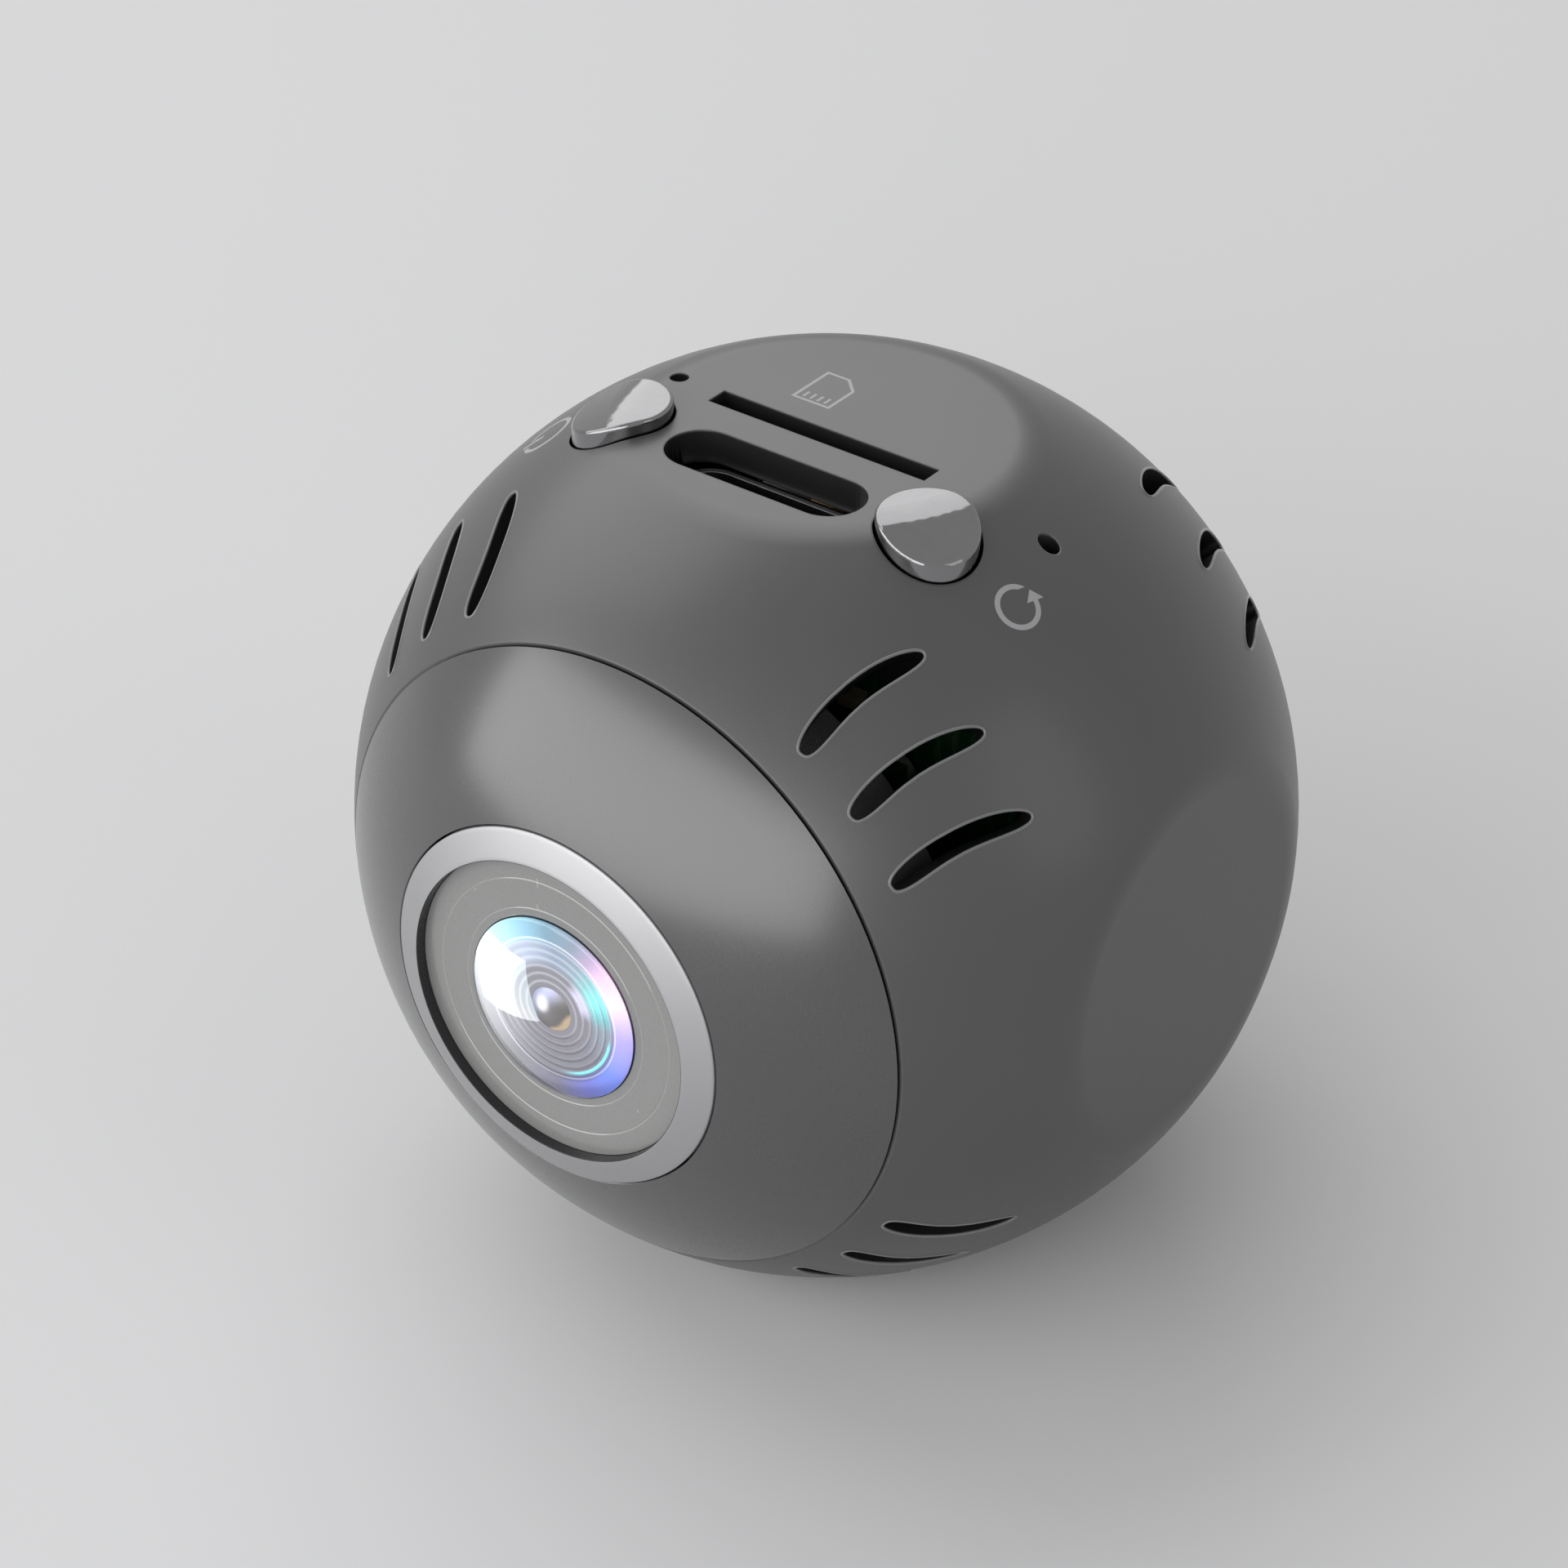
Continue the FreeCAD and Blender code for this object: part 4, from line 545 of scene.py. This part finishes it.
def makeVentLips():
    # the rounded lip round each vent, painted lighter than the shell as a highlight
    s = ventSettings
    ball = skinSettings["ball"]
    curve = bpy.data.curves.new("ventLips", "CURVE")
    curve.dimensions = "3D"
    curve.bevel_depth = s["lip"] * mm
    curve.bevel_resolution = 2
    outline = list(ventOutline())
    for index in (-1, 0, 1):
        turn = Matrix.Rotation(math.radians(-(s["azimuth"] + index * s["pitch"])), 3, "Y")
        turn = turn @ Matrix.Rotation(math.radians(s["lensAngle"] - 90), 3, "Z")
        turn = turn @ Matrix.Rotation(math.radians(90), 3, "Y") @ Matrix.Rotation(math.radians(90), 3, "Z")
        places = [turn @ Vector((u, v, math.sqrt(ball ** 2 - u * u - v * v))) for u, v in outline]
        places = [place * (1 - s["sunk"] / ball) for place in places]
        for sideX, sideY, sideZ in itertools.product((1, -1), repeat=3):
            spline = curve.splines.new("POLY")
            spline.points.add(len(places) - 1)
            spline.use_cyclic_u = True
            for point, (x, y, z) in zip(spline.points, places):
                point.co = (x * sideX * mm, y * sideY * mm, z * sideZ * mm + ballHeight, 1)
    shape = bpy.data.objects.new("ventLipCurves", curve)
    bm = bmesh.new()
    bm.from_mesh(bpy.data.meshes.new_from_object(shape))
    bmesh.ops.recalc_face_normals(bm, faces=bm.faces[:])
    bpy.data.objects.remove(shape)
    piece = pieceFrom("ventLips", bm, 60)
    # lighter than the shell: a painted highlight along each vent's rim
    colours = (0.15, 0.15, 0.155), (0.18, 0.18, 0.185)
    piece.data.materials.append(plasticFinish("lip painted highlight", *colours, 0.30, 0.02, 0.08, 0.001, 0.3))
    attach(piece, "housing")


# the lens, turned round its own axis; profiles are radius and distance from the ball's middle

lensSettings = {
    "steps": 192,
    "bezel": {"outer": 8.45, "bore": 7.11, "back": 17.5, "ball": 21.0, "edge": 0.05},
    "face": {
        "outer": 7.09, "hole": 4.33, "front": 19.22, "back": 18.6,
        "circles": (6.09, 4.71), "line": 0.04, "groove": 0.035,
        # turn in degrees, radius, half the width and half the length of each tick
        "ticks": ((97, 6.05, 0.035, 0.22), (93, 6.78, 0.03, 0.12), (99, 4.86, 0.035, 0.13),
                  (134, 5.95, 0.05, 0.05), (-38, 5.60, 0.05, 0.06)),
    },
    "glass": {
        "radius": 4.3, "rim": 19.43, "rise": 0.9, "flange": 5.0, "shoulder": 18.55, "back": 17.4,
        "hollow": 3.3, "hollowCurve": 4.4,
    },
    "core": {
        "rim": 4.28, "rimDepth": 19.30, "lip": 0.30, "band": 3.24, "bandDepth": 19.34,
        "rings": 6, "ridge": 0.009, "throat": 1.04, "floor": 19.40, "back": 18.75,
        "bead": 1.03, "beadRise": 0.34,
    },
    "baffle": {
        "outer": 4.2, "front": 17.35, "back": 15.5, "mouth": 3.2, "throat": 1.3, "rings": 9, "edge": 0.045,
    },
    "middle": {
        "radius": 4.2, "front": 15.45, "back": 14.2, "curve": 22.0,
        "bead": 1.22, "beadRise": 0.42, "beadFoot": 0.04,
    },
    "rear": {"radius": 4.2, "front": 13.45, "back": 11.2, "curve": 12.0},
}


def turnedPiece(name, profile, closed, sharp=0.0, segments=2):
    bm = bmesh.new()
    corners = [bm.verts.new((r * mm, -d * mm, ballHeight)) for r, d in profile]
    lines = [bm.edges.new(pair) for pair in zip(corners, corners[1:])]
    if closed:
        lines.append(bm.edges.new((corners[-1], corners[0])))
    bmesh.ops.spin(bm, geom=corners + lines, cent=(0, 0, ballHeight), axis=(0, 1, 0), dvec=(0, 0, 0),
                   angle=math.tau, steps=lensSettings["steps"], use_merge=True, use_duplicate=False)
    bmesh.ops.remove_doubles(bm, verts=bm.verts[:], dist=0.0004 * mm)
    bmesh.ops.recalc_face_normals(bm, faces=bm.faces[:])
    if sharp:
        edges = [e for e in bm.edges if e.is_manifold and e.calc_face_angle(0) > math.radians(40)]
        bmesh.ops.bevel(bm, geom=edges, offset=sharp * mm, offset_type="OFFSET", segments=segments,
                        profile=0.5, affect="EDGES", material=-1, clamp_overlap=True)
    return pieceFrom(name, bm, 35)


def pieceFrom(name, bm, angle):
    mesh = bpy.data.meshes.new(name)
    bm.to_mesh(mesh)
    bm.free()
    mesh.shade_smooth()
    mesh.set_sharp_from_angle(angle=math.radians(angle))
    piece = bpy.data.objects.new(name, mesh)
    bpy.context.scene.collection.objects.link(piece)
    return piece


def arc(radius, middle, fromRadius, toRadius, count, side=1):
    # points of a sphere's section, its middle on the lens axis
    radii = [fromRadius + (toRadius - fromRadius) * k / count for k in range(count + 1)]
    return [(r, middle + side * math.sqrt(radius ** 2 - r ** 2)) for r in radii]


def capRadius(half, rise):
    # the sphere that a cap of this half width and rise is cut from
    return (half ** 2 + rise ** 2) / (2 * rise)


def standFor(piece, node, material):
    piece.data.materials.append(material)
    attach(piece, "housing")
    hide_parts(node)


def bezelFinish():
    # blasted silver, with its bore painted near-black as shade
    s = lensSettings["bezel"]
    p = Paint("blasted silver")
    speck = p.noise(0.05, 3.0, 0.6)
    cloud = p.noise(3.0, 2.0, 0.5)
    # the bore is painted near-black as shade in the recess
    bore = aroundLens(p)[0] < s["bore"] + 0.035
    silver = p.colours(speck * 0.6 + cloud * 0.4, (0.42, 0.42, 0.43), (0.49, 0.49, 0.50))
    return p.surface(Base_Color=p.colours(bore, silver, (0.020, 0.020, 0.022)), Metallic=1 - bore,
                     Roughness=0.50 + (speck - 0.5) * 0.14 + (cloud - 0.5) * 0.06 - bore * 0.24,
                     Normal=p.relief(speck, 0.0015, p.softEdge(0.06)))


def makeBezel():
    s = lensSettings["bezel"]
    profile = arc(s["ball"], 0, s["bore"], s["outer"], 8) + [(s["outer"], s["back"]), (s["bore"], s["back"])]
    piece = turnedPiece("bezelRing", profile, True, s["edge"], 3)
    standFor(piece, "lens_bezel", bezelFinish())


def faceFinish():
    # fine-grained grey under a clear coat, with small index ticks by the circles
    s = lensSettings["face"]
    p = Paint("lens face")
    x, y, z = p.axes()
    radius = (x * x + z * z) ** 0.5
    angle = p.node("Math", {"operation": "ARCTAN2"}, {0: z, 1: x})
    ticks = p.most(*[(abs(angle - math.radians(turn)) < half / at) * (abs(radius - at) < length)
                     for turn, at, half, length in s["ticks"]])
    circles = p.most(*[abs(radius - at) < s["line"] for at in s["circles"]])
    grain = p.noise(0.06, 2.0, 0.7)
    turning = p.noise(0.5, 2.0, 0.5)
    colour = p.colours(grain, (0.185, 0.188, 0.182), (0.275, 0.278, 0.270))
    colour = p.colours(circles * 0.55 + ticks * 0.5, colour, (0.46, 0.46, 0.45))
    return p.surface(Base_Color=colour, Roughness=0.40 + (grain - 0.5) * 0.2 + (turning - 0.5) * 0.06,
                     Coat_Weight=1.0, Coat_Roughness=0.04, Coat_IOR=1.5,
                     Normal=p.relief(grain, 0.004, p.softEdge(0.04)))


def makeFace():
    s = lensSettings["face"]
    front = s["front"]
    line = s["line"]
    profile = [(s["hole"], s["back"]), (s["hole"], front)]
    for at in sorted(s["circles"]):
        profile += [(at - line, front), (at, front - s["groove"]), (at + line, front)]
    profile += [(s["outer"], front), (s["outer"], s["back"])]
    standFor(turnedPiece("faceRing", profile, True), "lens_trim", faceFinish())


def aroundLens(p):
    # radius from the lens axis in millimetres, and the turn round it from 0 to 1, starting on the right
    x, y, z = p.axes()
    turn = p.node("Math", {"operation": "ARCTAN2"}, {0: z, 1: x}) / math.tau
    return (x * x + z * z) ** 0.5, p.node("Math", {"operation": "FRACT"}, {0: turn + 1.0})


def coatedGlass(name, veil):
    # clear glass: it mirrors as much as glass does, with the coating's faint colour, and light goes through
    p = Paint(name)
    colour = p.ramp(aroundLens(p)[1], [
        (0.00, (0.80, 0.72, 1.0)), (0.10, (1.0, 0.78, 0.95)), (0.25, (0.72, 0.92, 1.0)),
        (0.50, (0.95, 0.98, 1.0)), (0.80, (0.72, 0.76, 1.0)), (1.0, (0.80, 0.72, 1.0))])
    return p.surface(Base_Color=colour, Metallic=1.0, Roughness=0.012 + p.noise(2.0) * 0.01,
                     Alpha=p.clamp(p.gloss() * veil))


def makeGlass():
    s = lensSettings["glass"]
    dome = capRadius(s["radius"], s["rise"])
    hollow = s["hollowCurve"]
    inner = s["back"] - math.sqrt(hollow ** 2 - s["hollow"] ** 2)
    profile = arc(dome, s["rim"] + s["rise"] - dome, 0, s["radius"], 40)
    profile += [(s["radius"], s["shoulder"]), (s["flange"], s["shoulder"]), (s["flange"], s["back"])]
    profile += arc(hollow, inner, s["hollow"], 0, 32)
    piece = turnedPiece("frontGlass", profile, False, 0.03)
    standFor(piece, "front_lens", coatedGlass("coated front glass", 1.3))


coreReflectionPaint = {  # painted reflections and highlights of the coated lens; radii in millimetres; a turn starts on the right and goes up
    "outer": [
        (0.00, (0.46, 0.40, 0.95)), (0.035, (0.70, 0.58, 0.98)), (0.07, (0.98, 0.82, 1.0)),
        (0.12, (0.98, 0.66, 0.94)), (0.16, (0.50, 0.40, 0.58)), (0.20, (0.27, 0.33, 0.42)),
        (0.26, (0.20, 0.34, 0.44)), (0.33, (0.34, 0.64, 0.82)), (0.39, (0.56, 0.84, 0.98)),
        (0.46, (0.74, 0.80, 0.88)), (0.56, (0.56, 0.57, 0.60)), (0.66, (0.27, 0.27, 0.28)),
        (0.76, (0.19, 0.185, 0.26)), (0.83, (0.17, 0.19, 0.62)), (0.90, (0.17, 0.27, 0.88)),
        (1.00, (0.46, 0.40, 0.95))],
    "inner": [
        (0.00, (0.26, 0.32, 0.38)), (0.03, (0.18, 0.52, 0.56)), (0.08, (0.26, 0.95, 0.92)),
        (0.13, (0.24, 0.58, 0.60)), (0.17, (0.28, 0.38, 0.46)), (0.24, (0.27, 0.33, 0.44)),
        (0.34, (0.48, 0.54, 0.68)), (0.46, (0.60, 0.62, 0.68)), (0.58, (0.36, 0.36, 0.39)),
        (0.72, (0.22, 0.22, 0.235)), (0.90, (0.21, 0.21, 0.25)), (1.00, (0.26, 0.32, 0.38))],
    "plain": (0.22, 0.215, 0.24),
    "plainTo": (1.9, 2.5),
    "innerTo": (3.16, 3.30),
    # a painted highlight on the upper left of the core
    "paintedGlow": (0.74, 0.74, 1.0),
    "paintedGlowAt": (1.9, 0.09),  # radius and turn
    "edge": (3.36, 0.05),  # a painted light line's radius and half its width
    # a painted cyan reflection arc on the lower right
    "arc": (3.10, 0.075),
    "arcTurn": (0.76, 0.84, 0.955, 0.99),  # where it begins, is full, wanes and ends
}


def paintedCoreReflections():
    # painted reflections of the coated glass on its inner faces: bands of cyan, rose and violet on grey, a
    # painted highlight, and fine rings painted light and dark
    s = lensSettings["core"]
    look = coreReflectionPaint
    p = Paint("lens core painted reflections")
    radius, turn = aroundLens(p)
    outer = p.ramp(turn, look["outer"])
    inner = p.ramp(turn, look["inner"])
    step = (s["band"] - s["throat"]) / s["rings"]
    # fine rings: painted light on their ridges and painted shade in the gaps between them
    lines = p.bands(s["band"] - radius - step * 0.16, step / 2)
    lines = (1 - p.smooth(lines, step * 0.06, step * 0.26)) * (radius < s["band"] + 0.05)
    paintedShadeGaps = p.bands(s["band"] - radius + step * 0.30, step / 2)
    paintedShadeGaps = (1 - p.smooth(paintedShadeGaps, step * 0.04, step * 0.16)) * (radius < s["band"])
    # a painted cyan reflection arc
    at, half = look["arc"]
    begin, full, wane, end = look["arcTurn"]
    paintedArcReflection = (abs(radius - at) < half) * p.smooth(turn, begin, full) * (1 - p.smooth(turn, wane, end))
    middle = p.colours(p.smooth(radius, *look["plainTo"]), look["plain"], inner)
    # a painted highlight on the upper left
    at, turnAt = look["paintedGlowAt"]
    paintedGlow = (1 - p.smooth(abs(radius - at), 0.10, 0.42)) * (1 - p.smooth(abs(turn - turnAt), 0.02, 0.085))
    middle = p.colours(paintedGlow * 0.8, middle, look["paintedGlow"])
    colour = p.colours(p.smooth(radius, *look["innerTo"]), middle, outer)
    # a painted light line near the band's edge
    at, half = look["edge"]
    colour = p.colours((abs(radius - at) < half) * 0.55, colour, (0.90, 0.92, 0.98))
    colour = p.colours(paintedShadeGaps * 0.10, colour, (0.14, 0.14, 0.17))
    colour = p.colours(lines * 0.24, colour, (0.85, 0.86, 0.92))
    colour = p.colours(paintedArcReflection * 0.9, colour, (0.25, 0.92, 1.0))
    speck = p.noise(0.05, 2.0, 0.6)
    return p.surface(Base_Color=colour, Metallic=0.9, Roughness=0.16 + (speck - 0.5) * 0.06,
                     Coat_Weight=0.5, Coat_Roughness=0.05)


def pupilPaintedLight():
    # grey, with painted blue-white skylight and a painted highlight on its upper left, and a painted warm
    # rim of light on its lower right
    p = Paint("pupil painted light")
    x, y, z = p.axes()
    colour = p.colours(p.smooth(z - x, -0.2, 1.2), (0.20, 0.195, 0.19), (0.50, 0.52, 0.74))
    # a painted white highlight on the upper left
    paintedHighlightSpot = ((x + 0.30) * (x + 0.30) + (z - 0.34) * (z - 0.34)) ** 0.5
    colour = p.colours(1 - p.smooth(paintedHighlightSpot, 0.12, 0.52), colour, (1.0, 1.0, 1.0))
    # a painted warm rim of light on the lower right
    rim = p.smooth((x * x + z * z) ** 0.5, 0.62, 0.90) * p.smooth(x - z, 0.70, 1.10)
    colour = p.colours(rim * 0.85, colour, (0.95, 0.74, 0.46))
    return p.surface(Base_Color=colour, Metallic=0.35, Roughness=0.38 + p.noise(0.4) * 0.02)


def makeCore():
    # the inner faces lie right under the dome, where the glass makes them seem to be
    s = lensSettings["core"]
    step = (s["band"] - s["throat"]) / s["rings"]
    ridge = s["ridge"]
    back = s["back"]
    profile = [(s["rim"], s["rimDepth"]), (s["band"] + s["lip"], s["bandDepth"] + 0.01)]
    profile.append((s["band"], s["bandDepth"]))
    for k in range(s["rings"]):
        at = s["band"] - step * k
        depth = s["bandDepth"] + (s["floor"] - s["bandDepth"]) * (k + 1) / s["rings"]
        profile += [(at - step * 0.16, depth + ridge), (at - step * 0.50, depth + ridge * 0.55),
                    (at - step * 0.70, depth - ridge * 0.2), (at - step, depth)]
    profile += [(s["throat"], back), (s["rim"], back)]
    core = turnedPiece("glassRings", profile, True)
    core.data.materials.append(paintedCoreReflections())
    ball = capRadius(s["bead"], s["beadRise"])
    bead = arc(ball, s["floor"] + s["beadRise"] - ball, s["bead"], 0, 16)
    pupil = turnedPiece("glassPupil", bead + [(0, back), (s["bead"], back)], True)
    pupil.data.materials.append(pupilPaintedLight())
    for piece in (core, pupil):
        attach(piece, "housing")


def makeBaffle():
    s = lensSettings["baffle"]
    rings = s["rings"]
    fall = (s["front"] - s["back"]) / rings
    step = (s["mouth"] - s["throat"]) / rings
    profile = [(s["outer"], s["back"]), (s["outer"], s["front"]), (s["mouth"], s["front"])]
    for k in range(rings):
        depth = s["front"] - fall * (k + 1)
        at = s["mouth"] - step * k
        profile.append((at, depth))
        if k < rings - 1:
            profile.append((at - step, depth))
    piece = turnedPiece("baffleCone", profile, True, s["edge"])
    standFor(piece, "inner_baffle", finishes["lens_black"])


def makeElements():
    innerGlass = coatedGlass("coated inner glass", 1.6)
    s = lensSettings["middle"]
    curve = s["curve"]
    bulge = curve - math.sqrt(curve ** 2 - s["radius"] ** 2)
    ball = capRadius(s["bead"], s["beadRise"])
    profile = arc(ball, s["front"] + s["beadRise"] - ball, 0, s["bead"], 16)
    profile.append((s["bead"], s["front"] - s["beadFoot"]))
    profile += [(s["radius"], s["front"] - bulge), (s["radius"], s["back"] + bulge)]
    profile += arc(curve, s["back"] + curve, s["radius"], 0, 12, -1)[1:]
    standFor(turnedPiece("middleGlass", profile, False), "middle_lens", innerGlass)
    s = lensSettings["rear"]
    curve = s["curve"]
    profile = arc(curve, s["front"] - curve, 0, s["radius"], 16)
    profile += arc(curve, s["back"] + curve, s["radius"], 0, 16, -1)
    standFor(turnedPiece("rearGlass", profile, False), "rear_lens", innerGlass)


makeSkin("main_shell", "shellSkin", finishes["shell_grey"])
makeSkin("front_cover", "coverSkin", coverFinish)
makeSkin("rear_cover", "rearSkin", coverFinish)
makeVentLips()
print("shell made")
makeBezel()
makeFace()
makeGlass()
makeCore()
makeBaffle()
makeElements()
print("lens made")


# materials of the nodes that stay as they are

for name, node in nodes.items():
    for slot in node.material_slots:
        slotName = slot.material.name.split(".")[0] if slot.material else ""
        if slotName in finishes:
            slot.material = finishes[slotName]
        else:
            print("no finish for", name, slotName)
print("finishes given to", len(nodes), "nodes")


# floor, backdrop and lamps

studio = {
    "floorColour": (0.78, 0.78, 0.79),
    "floorShade": 0.97,
    "floorSize": 1.0,
    "floorDrop": 0.03,
    "floorHole": 7.6,  # under the flat it stands on, so that the underside can be seen from below
    "floorFade": (110, 420),  # the floor melts into the backdrop between these, in millimetres
    "skyLight": 0.30,
    "skySeen": 0.62,
    "lamps": {  # azimuth from the front, elevation, distance, width, height and power
        "front": (-14, 22, 0.75, 1.80, 0.50, 7.0),
        "left": (-112, 46, 0.90, 1.20, 0.90, 4.4),
        "right": (95, 24, 0.80, 0.30, 0.50, 0.3),
    },
    # lights in millimetres for the lens alone, as the glass of a lens shows the windows of a studio
    "cards": {
        "bright": {
            "shape": "RECTANGLE", "width": 16, "height": 12, "power": 0.0038,
            "away": (-0.745, -0.47, -0.473), "start": (-2.6, -20.0, 0.9), "distance": 22,
            "pieces": ["frontGlass"],
        },
        "soft": {
            "shape": "ELLIPSE", "width": 24, "height": 24, "power": 0.0011,
            "away": (-0.526, -0.625, -0.577), "start": (-3.0, -20.0, 4.0), "distance": 26,
            "pieces": ["glassRings", "glassPupil"],
        },
    },
}


def makeFloor():
    bm = bmesh.new()
    bmesh.ops.create_grid(bm, x_segments=8, y_segments=8, size=studio["floorSize"])
    bmesh.ops.translate(bm, vec=(0, 0, -studio["floorDrop"] * mm), verts=bm.verts[:])
    floor = pieceFrom("floor", bm, 30)
    p = Paint("studio floor")
    shade = tuple(c * studio["floorShade"] for c in studio["floorColour"])
    colour = p.colours(p.noise(60.0, 2.0, 0.5) * 0.3, studio["floorColour"], shade)
    x, y, z = p.axes()
    radius = (x * x + y * y) ** 0.5
    fade = (1 - p.smooth(radius, *studio["floorFade"])) * (radius > studio["floorHole"])
    fade = fade * (1 - p.node("NewGeometry", output="Backfacing"))
    look = p.surface(Base_Color=colour, Roughness=0.7, Specular_IOR_Level=0.05, Alpha=fade)
    floor.data.materials.append(look)


def makeSky():
    # one even backdrop, brighter where it is seen or mirrored than where it lights
    world = bpy.data.worlds.new("studio")
    world.use_nodes = True
    bpy.context.scene.world = world
    tree = world.node_tree
    tree.nodes.clear()
    path = tree.nodes.new("ShaderNodeLightPath")
    seen = path.outputs["Is Camera Ray"]
    for ray in ("Is Glossy Ray", "Is Transmission Ray"):
        both = tree.nodes.new("ShaderNodeMath")
        both.operation = "MAXIMUM"
        tree.links.new(seen, both.inputs[0])
        tree.links.new(path.outputs[ray], both.inputs[1])
        seen = both.outputs[0]
    amount = tree.nodes.new("ShaderNodeMapRange")
    amount.inputs[3].default_value = studio["skyLight"]
    amount.inputs[4].default_value = studio["skySeen"]
    tree.links.new(seen, amount.inputs[0])
    back = tree.nodes.new("ShaderNodeBackground")
    back.inputs[0].default_value = (1.0, 1.0, 1.0, 1.0)
    tree.links.new(amount.outputs[0], back.inputs[1])
    out = tree.nodes.new("ShaderNodeOutputWorld")
    tree.links.new(back.outputs[0], out.inputs[0])


def addAreaLight(name, shape, width, height, power, place, away):
    data = bpy.data.lights.new(name, "AREA")
    data.shape = shape
    data.size = width
    data.size_y = height
    data.energy = power
    light = bpy.data.objects.new(name, data)
    light.location = place + Vector((0, 0, ballHeight))
    light.rotation_mode = "QUATERNION"
    light.rotation_quaternion = away.to_track_quat("Z", "Y")
    bpy.context.scene.collection.objects.link(light)
    return light


def makeLamps():
    for name, (azimuth, elevation, distance, width, height, power) in studio["lamps"].items():
        away = direction(azimuth, elevation)
        addAreaLight(name + "Lamp", "RECTANGLE", width, height, power, away * distance, away)


def makeLensCards():
    for name, card in studio["cards"].items():
        away = Vector(card["away"]).normalized()
        place = (Vector(card["start"]) + away * card["distance"]) * mm
        width, height = card["width"] * mm, card["height"] * mm
        light = addAreaLight(name + "Card", card["shape"], width, height, card["power"], place, away)
        light.visible_camera = False
        lit = bpy.data.collections.new(name + " card")
        for piece in card["pieces"]:
            lit.objects.link(bpy.data.objects[piece])
        light.light_linking.receiver_collection = lit


makeFloor()
makeSky()
makeLamps()
makeLensCards()
bpy.context.scene.view_settings.view_transform = "Standard"
print("studio set")
